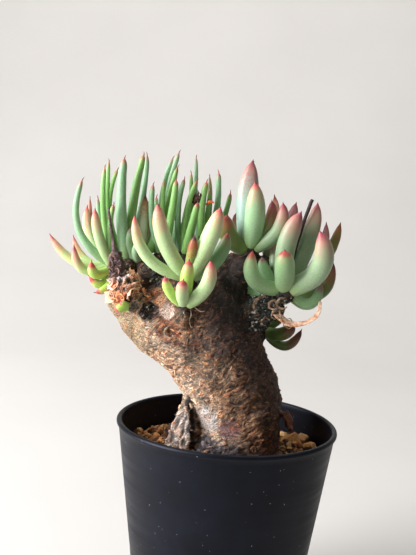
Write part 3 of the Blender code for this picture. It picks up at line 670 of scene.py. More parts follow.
# %% Mix the leaf skin
def leaf_skin():
    """Waxy succulent skin, read along each leaf."""
    made, tree, shader = new_material("waxy_succulent_skin", {
        "Roughness": 0.42, "IOR": 1.45, "Subsurface Weight": 0.22, "Subsurface Scale": 2.2 * MM,
        "Subsurface Radius": (0.75, 1.0, 0.4), "Sheen Weight": 0.28, "Sheen Roughness": 0.45,
        "Sheen Tint": colour("F4F4FF")})
    where = add(tree, "ShaderNodeTexCoord").outputs["Object"]

    def fact(name):
        return add(tree, "ShaderNodeAttribute", attribute_name=name)

    along = fact("along").outputs["Fac"]
    cloud = add(tree, "ShaderNodeTexNoise", {"Vector": where, "Scale": per(3.5), "Detail": 4.0})
    wander = add(tree, "ShaderNodeMapRange", {0: cloud, 3: -0.09, 4: 0.09})
    reach = add(tree, "ShaderNodeMath", {0: along, 1: wander}, operation="ADD")
    past = add(tree, "ShaderNodeMath", {0: reach, 1: fact("blush_start").outputs["Fac"]}, operation="SUBTRACT")
    dots = add(tree, "ShaderNodeTexNoise", {"Vector": where, "Scale": per(0.7), "Detail": 3.0})
    freckle = add(tree, "ShaderNodeMapRange", {0: dots, 1: 0.35, 2: 0.65, 3: -0.11, 4: 0.11})
    speckled = add(tree, "ShaderNodeMath", {0: past, 1: freckle}, operation="ADD")
    blushed = add(tree, "ShaderNodeMapRange", {0: speckled, 1: -0.12, 2: 0.3}, interpolation_type="SMOOTHSTEP")
    root = add(tree, "ShaderNodeMapRange", {0: along, 1: 0.0, 2: 0.28, 3: 0.5, 4: 0.0}, interpolation_type="SMOOTHSTEP")
    young = add(tree, "ShaderNodeMix", {"Factor": root, "A": fact("body").outputs["Color"], "B": colour("98BA68")},
                data_type="RGBA")
    warm = add(tree, "ShaderNodeMix", {"Factor": blushed, "A": young, "B": fact("blush").outputs["Color"]},
               data_type="RGBA")
    near_tip = add(tree, "ShaderNodeMath", {0: along, 1: fact("red_start").outputs["Fac"]}, operation="SUBTRACT")
    tipped = add(tree, "ShaderNodeMapRange", {0: near_tip, 1: -0.05, 2: 0.06}, interpolation_type="SMOOTHSTEP")
    red = add(tree, "ShaderNodeMix", {"Factor": tipped, "A": warm, "B": fact("tint").outputs["Color"]},
              data_type="RGBA")
    hard = add(tree, "ShaderNodeMapRange", {0: along, 1: 0.962, 2: 0.985})
    pointed = add(tree, "ShaderNodeMix", {"Factor": hard, "A": red, "B": colour("5A2428")}, data_type="RGBA")
    speck = add(tree, "ShaderNodeMapRange", {0: dots, 1: 0.3, 2: 0.7, 3: 0.9, 4: 1.1})
    own = add(tree, "ShaderNodeMapRange", {0: fact("leaf_seed").outputs["Fac"], 3: 0.89, 4: 1.07})
    value = add(tree, "ShaderNodeMath", {0: speck, 1: own}, operation="MULTIPLY")
    final = add(tree, "ShaderNodeHueSaturation", {"Color": pointed, "Value": value})
    tree.links.new(final.outputs[0], shader.inputs["Base Color"])
    relief = add(tree, "ShaderNodeBump", {"Height": dots, "Strength": 0.1, "Distance": 0.1 * MM})
    tree.links.new(relief.outputs[0], shader.inputs["Normal"])
    return made


# %% Grow the leaves
def grow_tufts(finish):
    """One object of finger leaves for each tuft of the solids."""
    draw = random.Random(LEAF_SEED)
    shade = random.Random(LEAF_SEED + 1)
    for name, growing_points in TUFTS.items():
        strips = []
        for where, core, far, leaves in growing_points:
            for leaf in list(leaves) + far_leaves(*far, draw):
                strips.append(leaf_strip(mm(*where), core, leaf, shade.random()))
        made = sweep("fingers_" + name, strips, finish, 24, LEAF_THICKNESS, 0.1, 0.35, 5.0)
        place(made, "leaf", name)


grow_tufts(leaf_skin())

# %% [markdown]
# The bark is the plant's oldest surface: it has split into plates and fibres that run round the
# stem, curled up in places and weathered from orange brown to grey, with smooth tan skin where it
# stretched last. The faceted stem is copied, joined with the round cores that carry the leaves,
# and made one fine even skin by a voxel remesh. Every point then moves along its normal by a
# formula. The same formula colours the plates and says where the bark is shaggy, scaly or mossy,
# and the loose pieces that follow read those facts.

# %% Make the stem's fine skin
SKIN_VOXEL = 0.545
SKIN_EASING = 10
CORE_SHARE = 0.95
# Swellings of old bark under the crown, a thick peel and filling at the foot behind the flap, which the painted gap
# shadow makes black: place and radius
SHOULDERS = (
    ((2.0, 3.5, 147.0), 6.0), ((-1.5, 6.0, 148.5), 5.2), ((-5.5, 5.5, 146.0), 6.0), ((-10.0, 5.0, 143.5), 6.0),
    ((7.0, 6.0, 147.5), 5.0), ((10.5, 5.0, 149.0), 4.6), ((-34.5, -4.0, 144.0), 5.2),
    ((23.8, -4.3, 90.2), 1.8), ((25.0, -4.3, 87.9), 2.1), ((24.6, -4.3, 86.0), 1.5),
    ((-14.4, -8.0, 90.0), 1.4), ((-13.8, -7.5, 86.5), 2.2), ((-13.8, -7.5, 82.0), 3.0), ((-13.8, -8.0, 77.5), 3.2),
)


def fine_copy(node, name, voxel, easing, balls=()):
    """A node's mesh, joined with some balls, as one even skin with its facets eased."""
    shape = bmesh.new()
    shape.from_mesh(frame["nodes"][node].data)
    bmesh.ops.remove_doubles(shape, verts=shape.verts, dist=0.002 * MM)
    for centre, radius in balls:
        ball = bmesh.ops.create_icosphere(shape, subdivisions=3, radius=radius * MM)
        bmesh.ops.translate(shape, verts=ball["verts"], vec=mm(*centre))
    made = from_bmesh(name, shape)
    made.data.materials.clear()
    even = made.modifiers.new("Even", "REMESH")
    even.mode = "VOXEL"
    even.voxel_size = voxel * MM
    ease = made.modifiers.new("Ease", "SMOOTH")
    ease.iterations = easing
    return bake(made)


def read_points(made):
    """The places of a mesh's points in millimetres, and their normals."""
    count = len(made.data.vertices)
    places, normals = np.empty(count * 3), np.empty(count * 3)
    made.data.vertices.foreach_get("co", places)
    made.data.vertex_normals.foreach_get("vector", normals)
    return places.reshape(-1, 3) / MM, normals.reshape(-1, 3)


def write_fact(made, name, values):
    """Store one number, vector or colour for each point of a mesh."""
    size = 1 if values.ndim == 1 else values.shape[1]
    kind, field = {1: ("FLOAT", "value"), 3: ("FLOAT_VECTOR", "vector"), 4: ("FLOAT_COLOR", "color")}[size]
    made.data.attributes.new(name, kind, "POINT").data.foreach_set(field, values.ravel())


def wavy(places, size, shift=0.0):
    """Smooth noise between about -1 and 1 with features of a size in millimetres."""
    away = Vector((shift, shift, shift))
    return np.array([noise.noise(Vector(p) / size + away) for p in places])


# Blender draws the offsets of its vector noise from the clock, unless they are seeded
SWIRL_SEED = 11
noise.seed_set(SWIRL_SEED)


def swirl(places, size):
    """A smooth field of directions with features of a size in millimetres."""
    return np.array([noise.noise_vector(Vector(p) / size) for p in places])


# %% Say where the bark changes
# Ground colours of the bark, from the pale side through brown to the part under the crown: the bark's own tone with
# painted light on the window side and painted shade under the crown
PALE, BROWN, DARK, FOOT = "D0B69A", "A67C58", "684832", "6A6064"
# Patches of other bark: place, radius, colour, strength and how rough they are beside the rest
PATCHES = (
    ((-45.0, -6.0, 124.0), 13.0, "A8936C", 0.75, 0.35),
    ((-38.0, -8.0, 117.0), 8.0, "B0946E", 0.6, 0.6),
    ((-27.0, -9.0, 109.0), 9.0, "C4926A", 0.5, 1.0),
    ((-40.5, -13.0, 127.5), 3.6, "8A8B80", 0.7, 0.3),
    ((-4.0, -14.0, 121.0), 9.0, "54392A", 0.6, 1.0),
    # Painted shade: this patch and the one at (2, -2, 144) are partly the dark bark under the crown, partly the shade
    # of the leaves over it.
    ((3.0, -9.0, 136.0), 15.0, "34241A", 0.85, 1.0),
    ((-25.0, -16.5, 123.2), 6.0, "A86E46", 0.85, 1.8),
    ((-27.0, -15.5, 127.4), 3.2, "A06238", 0.8, 1.2),
    ((-33.5, -14.3, 130.6), 5.0, "5A3E38", 0.97, 2.4),
    ((-26.5, -15.8, 131.4), 3.8, "DFC6B6", 0.95, 0.15),
    ((-29.6, -15.4, 136.0), 3.6, "D0A07C", 0.8, 0.3),
    ((-32.5, -14.5, 138.5), 3.4, "B0683A", 0.8, 1.3),
    ((-44.0, -13.0, 139.0), 8.8, "D0A082", 0.97, 0.5),
    ((-44.0, -16.0, 135.5), 4.5, "CC7C4A", 0.8, 0.5),
    ((-45.0, -15.0, 144.0), 4.0, "C8BCC0", 0.85, 0.5),
    ((-37.0, -12.0, 136.0), 4.2, "6B3B25", 0.9, 1.8),
    ((-21.0, -17.0, 130.0), 3.0, "A9A596", 0.7, 0.4),
    ((-11.5, -16.5, 88.0), 8.5, "BDB6B0", 0.85, 0.35),
    ((0.5, -17.8, 86.4), 4.6, "97696B", 0.75, 0.4),
    ((-14.5, -16.0, 119.0), 5.5, "5A3C28", 0.75, 1.0),
    ((-14.0, -16.0, 113.0), 5.0, "7C6E58", 0.5, 0.8),
    ((-4.0, -17.5, 109.0), 5.0, "8C7A62", 0.5, 0.9),
    ((11.0, -7.5, 131.0), 8.5, "3E3B31", 0.85, 1.8),
    ((18.0, -5.0, 137.0), 6.0, "302B23", 0.8, 1.6),
    ((25.0, -4.5, 88.0), 4.2, "A0623E", 0.95, 0.4),
    # Painted shade under the crown, with the dark bark there, as with the patch at (3, -9, 136).
    ((2.0, -2.0, 144.0), 11.0, "32261A", 0.85, 1.4),
    ((-31.0, -6.0, 146.5), 9.0, "3A3B36", 0.85, 1.5),
    ((-18.8, -12.4, 84.0), 8.0, "A8988C", 0.95, 0.55),
    ((-6.5, -12.5, 76.5), 7.0, "625E66", 0.9, 1.9),
    ((2.0, -15.5, 75.0), 6.5, "463C41", 0.9, 1.7),
)
# Painted shadow in the dark gap between the flap and the stem, from its top to its foot
GAP_SHADOW = (
    (-17.0, -11.5, 96.0), (-16.0, -10.5, 94.0), (-15.4, -9.5, 91.5), (-14.9, -9.5, 89.0), (-14.5, -10.0, 86.5),
    (-14.4, -10.5, 84.0), (-14.4, -11.0, 81.5), (-14.4, -11.0, 79.0),
)
GAP_SHADOW_RADIUS = 2.1
FLAP = (((-19.0, -12.4, 88.0), 6.5), ((-19.0, -12.4, 81.0), 7.0))
SCALY = (((-44.0, -14.0, 139.5), 8.8), ((-38.0, -13.0, 136.5), 4.5))
MOSSY = (((-31.0, -8.0, 147.5), 8.0), ((11.0, -7.5, 131.0), 8.5), ((18.0, -5.0, 136.0), 6.5),
         ((-20.5, -19.0, 135.0), 3.0), ((-33.6, -14.6, 130.6), 3.8), ((-38.0, -14.0, 136.0), 2.5))
HOLLOWS = (((-25.0, -17.0, 123.6), 1.4),)
OPEN_BARK_FROM = 71.0
LEAN = np.array(((0.92, 0.0, 0.39), (0.0, 1.0, 0.0), (-0.39, 0.0, 0.92)))


def covered(places, spots, ragged):
    """How much each place lies within any of some round spots with ragged edges."""
    cover = np.zeros(len(places))
    for where, radius in spots:
        reach = np.linalg.norm(places - np.array(where), axis=1) / radius + ragged
        cover = np.maximum(cover, smoothstep(1.0, 0.75, reach))
    return cover


def tinted(tones, code, cover):
    """Colours moved towards one colour by a share at each point."""
    return tones + (np.array(colour(code)) - tones) * cover[:, None]


def paint_ground(places, ragged):
    """The ground colour and the roughness of the bark at each place."""
    x, z = places[:, 0], places[:, 2]
    # Painted light and shade, with the bark's own tone: paler towards the left, the window side, and darker towards the
    # upper right under the crown.
    shade = smoothstep(-24.0, 20.0, x + 0.75 * (z - 100.0) + 14.0 * ragged)
    tones = np.tile(np.array(colour(PALE)), (len(places), 1))
    tones = tinted(tones, BROWN, smoothstep(0.0, 0.5, shade))
    tones = tinted(tones, DARK, smoothstep(0.5, 1.0, shade))
    tones = tinted(tones, FOOT, 0.6 * smoothstep(84.0, 76.0, z + 12.0 * ragged))
    rough = 0.75 + 0.35 * shade
    for where, radius, code, strength, more in PATCHES:
        cover = covered(places, [(where, radius)], ragged)
        tones = tinted(tones, code, strength * cover)
        rough += (more - rough) * cover
    # Painted shade: the bark darkens round each growing point, where the leaves crowd over it.
    roots = [(where, core + 2.0) for points in TUFTS.values() for where, core, _, _ in points]
    tones = tinted(tones, "362C1F", 0.8 * covered(places, roots, ragged))
    # Painted shadow: the gap between the flap and the stem is painted nearly black.
    return tinted(tones, "0B0706", 0.95 * covered(places, [(spot, GAP_SHADOW_RADIUS) for spot in GAP_SHADOW], 0.4 * ragged)), rough


# %% Raise and paint the plates of the bark
def bark_relief(places, space, rough):
    """How far the bark stands out in millimetres, with its plates, their cracks and its fibres."""
    lumps = 0.4 * wavy(places, 6.0)
    fibres = wavy(space / np.array((3.2, 3.2, 0.8)), 1.0, 5.0)
    ridges = 0.5 - 1.5 * np.abs(fibres)
    count = len(places)
    plates, cracks, leans = np.empty(count), np.empty(count), np.empty(count)
    for i, spot in enumerate(space / np.array((2.1, 2.1, 1.05))):
        distances, centres = noise.voronoi(Vector(spot))
        plates[i] = noise.cell(centres[0] * 7.0)
        leans[i] = spot[2] - centres[0].z
        cracks[i] = distances[1] - distances[0]
    open_crack = smoothstep(0.14, 0.0, cracks)
    flakes = 0.2 * plates + 0.22 * leans - 0.2 * open_crack
    fine = 0.1 * wavy(places, 0.9, 2.0)
    return lumps + rough * (0.24 * ridges + flakes + fine), plates, open_crack, ridges


def folded(places, sizes, shift):
    """Sharp ridges between rounded valleys, from about -1 to 1, with features of these sizes."""
    return 1.0 - 3.4 * np.abs(wavy(places / np.array(sizes), 1.0, shift))


def make_bark_skin():
    """The stem as a fine skin with its relief and the facts that its loose pieces read."""
    cores = [(where, core * CORE_SHARE) for points in TUFTS.values() for where, core, _, _ in points]
    skin = fine_copy("stem", "bark_skin", SKIN_VOXEL, SKIN_EASING, cores + list(SHOULDERS))
    places, normals = read_points(skin)
    ragged = 0.2 * wavy(places, 3.0, 9.0) + 0.17 * wavy(places, 1.2, 3.0)
    space = (places + 3.0 * swirl(places, 9.0) + 0.9 * swirl(places, 3.0)) @ LEAN.T
    tones, rough = paint_ground(places, ragged)
    relief, plates, open_crack, ridges = bark_relief(places, space, rough)
    some = np.clip(rough, 0.0, 1.0)
    rust = some * smoothstep(0.72, 0.8, plates) * smoothstep(-0.03, 0.13, ragged)
    tones[:, :3] *= 1.0 + rust[:, None] * np.array((0.2, -0.1, -0.35))
    # Painted shade and light over each plate's own tone: darker in the open cracks and between the fibres, lighter on
    # their ridges.
    value = (0.72 + 0.6 * plates) * (1.0 - 0.65 * open_crack) * (0.85 + 0.4 * smoothstep(-0.1, 0.46, ridges))
    tones[:, :3] *= (1.0 + (value - 1.0) * some)[:, None]
    relief -= 1.3 * covered(places, HOLLOWS, 0.5 * ragged)
    scaly = covered(places, SCALY, ragged)
    # On the gall and the flap the folds are painted dark in their hollows and light on their ridges: painted shade and
    # highlights over the relief they raise.
    for cover, folds, high in (
            (scaly, 0.65 * folded(places, (3.2, 3.2, 3.2), 6.0) + 0.35 * folded(places, (1.5, 1.5, 1.5), 8.0), 1.1),
            (covered(places, FLAP, ragged), folded(places, (1.5, 1.5, 6.5), 7.0), 0.45)):
        relief += high * cover * folds
        tones[:, :3] *= (1.0 + cover * (0.25 + 1.5 * smoothstep(-0.6, 0.9, folds) - 1.0))[:, None]
    open_air = smoothstep(OPEN_BARK_FROM - 2.0, OPEN_BARK_FROM + 2.0, places[:, 2])
    moved = (places + normals * (relief * open_air)[:, None]) * MM
    skin.data.vertices.foreach_set("co", moved.ravel())
    skin.data.update()
    ring = np.cross(normals, LEAN[2])
    turn = 0.9 * wavy(places, 9.0, 4.0)[:, None]
    write_fact(skin, "fibre", ring * np.cos(turn) + np.cross(normals, ring) * np.sin(turn))
    write_fact(skin, "bark_space", space)
    write_fact(skin, "bark_colour", tones)
    write_fact(skin, "scaly", scaly)
    write_fact(skin, "mossy", covered(places, MOSSY, ragged))
    write_fact(skin, "shaggy", open_air * (1.0 - scaly) * smoothstep(0.25, 1.0, rough))
    skin.data.shade_smooth()
    return skin


# %% Mix the bark
def weathered_bark():
    """Dead outer bark: dull, fibrous, dark in its cracks, with fibres finer than the mesh."""
    made, tree, shader = new_material("weathered_fibrous_bark", {"Roughness": 0.64, "IOR": 1.5})
    tone = add(tree, "ShaderNodeAttribute", attribute_name="bark_colour")
    space = add(tree, "ShaderNodeAttribute", attribute_name="bark_space").outputs["Vector"]
    along = add(tree, "ShaderNodeMapping", {"Vector": space, "Scale": (0.8, 0.8, 2.8)})
    streaks = add(tree, "ShaderNodeTexNoise", {"Vector": along, "Scale": 1.0, "Detail": 7.0,
                                               "Roughness": 0.78, "Distortion": 1.2})
    value = add(tree, "ShaderNodeMapRange", {0: streaks, 1: 0.4, 2: 0.6, 3: 0.28, 4: 1.95})
    splits = add(tree, "ShaderNodeTexVoronoi", {"Vector": along, "Scale": 0.9}, feature="DISTANCE_TO_EDGE")
    dark = add(tree, "ShaderNodeMapRange", {0: splits, 1: 0.0, 2: 0.13, 3: 0.05, 4: 1.0})
    rusty = add(tree, "ShaderNodeTexNoise", {"Vector": space, "Scale": 0.45, "Detail": 4.0})
    warmth = add(tree, "ShaderNodeMapRange", {0: rusty, 1: 0.5, 2: 0.68, 3: 0.0, 4: 1.0})
    both = add(tree, "ShaderNodeMath", {0: value, 1: dark}, operation="MULTIPLY")
    warm = add(tree, "ShaderNodeMix", {"Factor": warmth, "A": tone.outputs["Color"], "B": colour("FFC69C")},
               data_type="RGBA", blend_type="MULTIPLY")
    varied = add(tree, "ShaderNodeHueSaturation", {"Color": warm.outputs[2], "Value": both})
    tree.links.new(varied.outputs[0], shader.inputs["Base Color"])
    bump = add(tree, "ShaderNodeBump", {"Height": streaks, "Strength": 1.0, "Distance": 0.5 * MM})
    tree.links.new(bump.outputs[0], shader.inputs["Normal"])
    return made


bark_skin = make_bark_skin()
bark_skin.data.materials.append(weathered_bark())
place(bark_skin, "bark", "stem")

# %% [markdown]
# Loose bark isn't a texture: it stands off the stem and throws shadows. So a second tree scatters
# small things on a surface. It takes a collection of a few variants and the density, and
# sets each copy square to the surface with its length along the fibres, then tilts and turns it a
# little at random. The same tree will lay the scales of the gall and the grit of the soil.

# %% Build the tree that scatters variants on a surface
def scattering_tree(smooth):
    """Copies of a collection's variants on a surface, by the facts stored in its points."""
    tree, given = new_tree("variants_on_a_surface" + ("_smooth" if smooth else ""), (
        ("Variants", "Collection"), ("Density", "Float"), ("Where", "String"), ("Seed", "Int"),
        ("Smallest", "Float"), ("Largest", "Float"), ("Lift", "Float"), ("Tilt", "Float"),
        ("Spin", "Float"), ("Finish", "Material")))
    amount = add(tree, "GeometryNodeInputNamedAttribute", {"Name": given["Where"]}, data_type="FLOAT")
    density = add(tree, "ShaderNodeMath", {0: amount, 1: given["Density"]}, operation="MULTIPLY")
    spots = add(tree, "GeometryNodeDistributePointsOnFaces", {
        "Mesh": given["Geometry"], "Density": density, "Seed": given["Seed"]})
    fibre = add(tree, "GeometryNodeInputNamedAttribute", {"Name": "fibre"}, data_type="FLOAT_VECTOR")
    square = add(tree, "FunctionNodeAxesToRotation", {
        "Primary Axis": spots.outputs["Normal"], "Secondary Axis": fibre}, primary_axis="Z", secondary_axis="X")
    least = add(tree, "ShaderNodeCombineXYZ", {
        0: add(tree, "ShaderNodeMath", {0: given["Tilt"], 1: -1.0}, operation="MULTIPLY"),
        1: add(tree, "ShaderNodeMath", {0: given["Tilt"], 1: -1.0}, operation="MULTIPLY"),
        2: add(tree, "ShaderNodeMath", {0: given["Spin"], 1: -1.0}, operation="MULTIPLY")})
    most = add(tree, "ShaderNodeCombineXYZ", {0: given["Tilt"], 1: given["Tilt"], 2: given["Spin"]})
    seed = add(tree, "ShaderNodeMath", {0: given["Seed"], 1: 1.0}, operation="ADD")
    angles = add(tree, "FunctionNodeRandomValue", {"Min": least, "Max": most, "Seed": seed}, data_type="FLOAT_VECTOR")
    turned = add(tree, "FunctionNodeRotateRotation", {
        "Rotation": square, "Rotate By": add(tree, "FunctionNodeEulerToRotation", {0: angles})},
        rotation_space="LOCAL")
    chance = add(tree, "FunctionNodeRandomValue", {"Seed": add(
        tree, "ShaderNodeMath", {0: given["Seed"], 1: 2.0}, operation="ADD")}, data_type="FLOAT")
    shaded = add(tree, "GeometryNodeStoreNamedAttribute", {
        "Geometry": spots.outputs["Points"], "Name": "shade", "Value": chance}, data_type="FLOAT", domain="POINT")
    size = add(tree, "FunctionNodeRandomValue", {"Min": given["Smallest"], "Max": given["Largest"], "Seed": add(
        tree, "ShaderNodeMath", {0: given["Seed"], 1: 3.0}, operation="ADD")}, data_type="FLOAT")
    which = add(tree, "FunctionNodeRandomValue", {"Min": 0, "Max": 100, "Seed": add(
        tree, "ShaderNodeMath", {0: given["Seed"], 1: 4.0}, operation="ADD")}, data_type="INT")
    kit = add(tree, "GeometryNodeCollectionInfo", {"Collection": given["Variants"], "Separate Children": True})
    copies = add(tree, "GeometryNodeInstanceOnPoints", {
        "Points": shaded, "Instance": kit, "Pick Instance": True, "Instance Index": which,
        "Rotation": turned, "Scale": size})
    lift = add(tree, "ShaderNodeCombineXYZ", {2: given["Lift"]})
    lifted = add(tree, "GeometryNodeTranslateInstances", {
        "Instances": copies, "Translation": lift, "Local Space": True})
    return close_tree(tree, lifted, given["Finish"], smooth)


SCATTER = {smooth: scattering_tree(smooth) for smooth in (True, False)}


def kit_of(name, makers):
    """A collection of variants, out of the scene, for the scattering tree."""
    kit = bpy.data.collections.new(name)
    for made in makers:
        bpy.context.scene.collection.objects.unlink(made)
        kit.objects.link(made)
    return kit


def scatter(name, surface, kit, finish, smooth, **values):
    """An object of scattered copies."""
    made = add_object(name, surface.data.copy())
    values = {key.replace("_", " ").title(): value for key, value in values.items()}
    grow(made, SCATTER[smooth], {**values, "Variants": kit, "Finish": finish})
    for variant in list(kit.objects):
        bpy.data.objects.remove(variant)
    bpy.data.collections.remove(kit)
    return made


# %% Shape the loose bark and scatter it
def flake(name, draw, length, width, bend, rise):
    """One flat strip of dead bark along +X, a little bent sideways, with its ends lifted."""
    points, widths = [], []
    bow = draw.uniform(-1.0, 1.0) * bend
    for k in range(5):
        s = k / 2.0 - 1.0
        points.append(mm(length * s / 2.0, length * bow * s * s, rise * s * s * (1.0 if s > 0.0 else 0.3)))
        widths.append(width / 2.0 * MM * (1.0 - 0.7 * s * s))
    strip = {"points": points, "widths": widths, "upper": (0.0, 0.0, 1.0), "facts": {}}
    return sweep(name, [strip], None, 4, flatness=0.4)


def flakes(count, seed, lengths, widths, bend, rise):
    """A kit of flakes, each drawn between these limits."""
    draw = random.Random(seed)
    return kit_of("flakes", [flake(f"flake_{k:02d}", draw, draw.uniform(*lengths), draw.uniform(*widths),
                                   bend, draw.uniform(0.0, rise)) for k in range(count)])


def papery_scale(name, draw):
    """A thin dry scale about one millimetre across, cupped and crumpled."""
    shape = bmesh.new()
    bmesh.ops.create_grid(shape, x_segments=5, y_segments=5, size=0.5 * MM)
    for vert in shape.verts:
        x, y = vert.co.x / MM, vert.co.y / MM
        high = 0.9 * x * x + 0.7 * y * y + draw.uniform(-0.1, 0.1)
        vert.co = mm(x * 1.1 + draw.uniform(-0.06, 0.06), y * (1.2 - 0.9 * x * x), high)
    made = from_bmesh(name, shape)
    thick = made.modifiers.new("Thick", "SOLIDIFY")
    thick.thickness = 0.07 * MM
    return bake(made)


def scales(count, seed):
    """A kit of papery scales."""
    draw = random.Random(seed)
    return kit_of("scales", [papery_scale(f"scale_{k}", draw) for k in range(count)])


def loose_bark(name, dimmest, brightest, warm, rough):
    """Loose bark: the colour that it grew from, lighter or darker for each piece, some orange."""
    made, tree, shader = new_material(name, {"Roughness": rough, "IOR": 1.5})
    where = add(tree, "ShaderNodeTexCoord").outputs["Object"]
    shade = add(tree, "ShaderNodeAttribute", attribute_name="shade").outputs["Fac"]
    tone = add(tree, "ShaderNodeAttribute", attribute_name="bark_colour")
    orange = add(tree, "ShaderNodeMapRange", {0: shade, 1: 0.45, 2: 1.0, 3: 0.0, 4: warm})
    mixed = add(tree, "ShaderNodeMix", {"Factor": orange, "A": tone, "B": colour("C58750")}, data_type="RGBA")
    each = add(tree, "ShaderNodeMapRange", {0: shade, 3: dimmest, 4: brightest})
    streak = add(tree, "ShaderNodeTexNoise", {"Vector": where, "Scale": per(0.8), "Detail": 3.0})
    fine = add(tree, "ShaderNodeMapRange", {0: streak, 1: 0.3, 2: 0.7, 3: 0.75, 4: 1.25})
    value = add(tree, "ShaderNodeMath", {0: each, 1: fine}, operation="MULTIPLY")
    varied = add(tree, "ShaderNodeHueSaturation", {"Color": mixed.outputs[2], "Value": value})
    tree.links.new(varied.outputs[0], shader.inputs["Base Color"])
    return made


place(scatter("bark_fibres", bark_skin, flakes(9, 21, (1.5, 3.6), (0.16, 0.32), 0.25, 0.3),
              loose_bark("split_bark_fibre", 0.4, 1.9, 0.2, 0.62), True, density=0.3 / MM ** 2, where="shaggy",
              seed=3, smallest=0.6, largest=1.15, lift=-0.02 * MM, tilt=0.09, spin=0.85), "bark")
place(scatter("bark_chips", bark_skin, flakes(7, 22, (1.2, 2.6), (0.5, 1.1), 0.25, 0.35),
              loose_bark("flaking_bark_chip", 0.3, 1.6, 0.25, 0.66), True, density=0.06 / MM ** 2, where="shaggy",
              seed=8, smallest=0.6, largest=1.25, lift=0.0, tilt=0.16, spin=1.2), "bark")
place(scatter("gall_scales", bark_skin, scales(8, 23), loose_bark("papery_gall_scale", 0.5, 1.9, 0.15, 0.5),
              True, density=0.06 / MM ** 2, where="scaly", seed=5, smallest=2.0, largest=4.0,
              lift=-0.25 * MM, tilt=0.4, spin=3.1), "bark")

# %% [markdown]
# Moss, dust and old bits of bark have gathered where the leaves are rooted and on the stub of a
# branch at the right. They are small angular crumbs, so the tree that scatters lays them too.

# %% Gather crumbs of moss and litter
def pebble(name, draw, corners, stretch):
    """An angular stone about one millimetre across: the hull of random points on an egg."""
    shape = bmesh.new()
    for _ in range(corners):
        spot = Vector((draw.gauss(0, 1), draw.gauss(0, 1), draw.gauss(0, 1))).normalized() * 0.5 * MM
        shape.verts.new((spot.x * stretch[0], spot.y * stretch[1], spot.z * stretch[2]))
    hull = bmesh.ops.convex_hull(shape, input=shape.verts)
    inner = [part for part in hull["geom_interior"] if isinstance(part, bmesh.types.BMVert)]
    bmesh.ops.delete(shape, geom=inner, context="VERTS")
    return from_bmesh(name, shape)


def pebbles(seed, corners):
    """A kit of eight stones."""
    draw = random.Random(seed)
    return kit_of("pebbles", [pebble(f"pebble_{k}", draw, corners, (1.2, 1.0, draw.uniform(0.6, 0.9)))
                              for k in range(8)])


def gritty(name, stops, rough):
    """Unglazed clay, stone or crumbs: dull, with a colour of its own for each grain."""
    made, tree, shader = new_material(name, {"Roughness": rough, "IOR": 1.5})
    where = add(tree, "ShaderNodeTexCoord").outputs["Object"]
    shade = add(tree, "ShaderNodeAttribute", attribute_name="shade").outputs["Fac"]
    ramp = add(tree, "ShaderNodeValToRGB", {0: shade})
    elements = ramp.color_ramp.elements
    for i, code in enumerate(stops):
        stop = elements[i] if i < 2 else elements.new(i / len(stops))
        stop.position = i / len(stops)
        stop.color = colour(code)
    ramp.color_ramp.interpolation = "CONSTANT"
    speckle = add(tree, "ShaderNodeTexNoise", {"Vector": where, "Scale": per(0.9), "Detail": 4.0})
    value = add(tree, "ShaderNodeMapRange", {0: speckle, 1: 0.3, 2: 0.7, 3: 0.7, 4: 1.2})
    varied = add(tree, "ShaderNodeHueSaturation", {"Color": ramp, "Value": value})
    tree.links.new(varied.outputs[0], shader.inputs["Base Color"])
    bump = add(tree, "ShaderNodeBump", {"Height": speckle, "Strength": 0.5, "Distance": 0.2 * MM})
    tree.links.new(bump.outputs[0], shader.inputs["Normal"])
    return made


CRUMBS = gritty("moss_and_litter", ("3E4A4A", "25221B", "5B6B62", "8A7A66", "2E3A2C", "1C1813", "B9B2A8"), 0.9)
place(scatter("crown_litter", bark_skin, pebbles(41, 10), CRUMBS, False, density=0.85 / MM ** 2, where="mossy",
              seed=41, smallest=0.5, largest=1.5, lift=0.1 * MM, tilt=0.8, spin=3.1), "bark")

# %% [markdown]
# What has died stays on the plant for a while: a flower stalk on the gall, shrivelled and scaly at
# its foot, a leaf that has withered to a ribbon, a black twig, the remains of a flower, rings of
# old bark on the stub and a few fine roots that hang under the front shoot. Each is a path with a
# half width at each of its points, in millimetres, smoothed and swept by the leaves' own tree.

# %% Lay the paths of the dry pieces
DRY_STALK = ((-45.4, -13.4, 138.5, 2.3), (-46.1, -13.6, 142.5, 2.6), (-46.9, -13.8, 147.5, 2.6),
             (-47.6, -13.8, 151.5, 1.7), (-48.6, -13.6, 155.5, 0.8), (-49.8, -13.6, 161.0, 0.6),
             (-50.6, -13.6, 165.5, 0.55), (-51.2, -13.6, 169.5, 0.35))
WITHERED_LEAF = ((15.2, -5.8, 132.6, 1.5), (17.9, -8.6, 130.6, 1.7), (21.0, -10.4, 128.8, 1.6),
                 (24.5, -11.0, 128.6, 1.4), (28.0, -11.2, 129.6, 1.0), (31.2, -11.2, 131.8, 0.9),
                 (32.6, -11.2, 134.6, 0.8), (32.8, -11.2, 138.2, 0.55))
BLACK_TWIG = ((19.0, -5.0, 141.0, 0.8), (21.5, -3.0, 153.0, 0.8), (24.3, -1.2, 165.0, 0.75),
              (27.2, -0.2, 175.2, 0.75), (28.0, 0.0, 177.3, 0.65))
FLOWER_STALK = ((-15.5, 5.0, 150.0, 0.6), (-16.0, 5.0, 160.0, 0.6), (-17.4, 4.5, 166.0, 0.55),
                (-18.5, 4.0, 171.8, 0.7))
FLOWER_HEAD = (-18.7, 4.0, 172.8)
ORANGE_SEPAL = ((-14.2, 3.4, 172.4, 0.4), (-12.6, 2.6, 173.8, 0.6), (-11.0, 2.2, 173.4, 0.25))
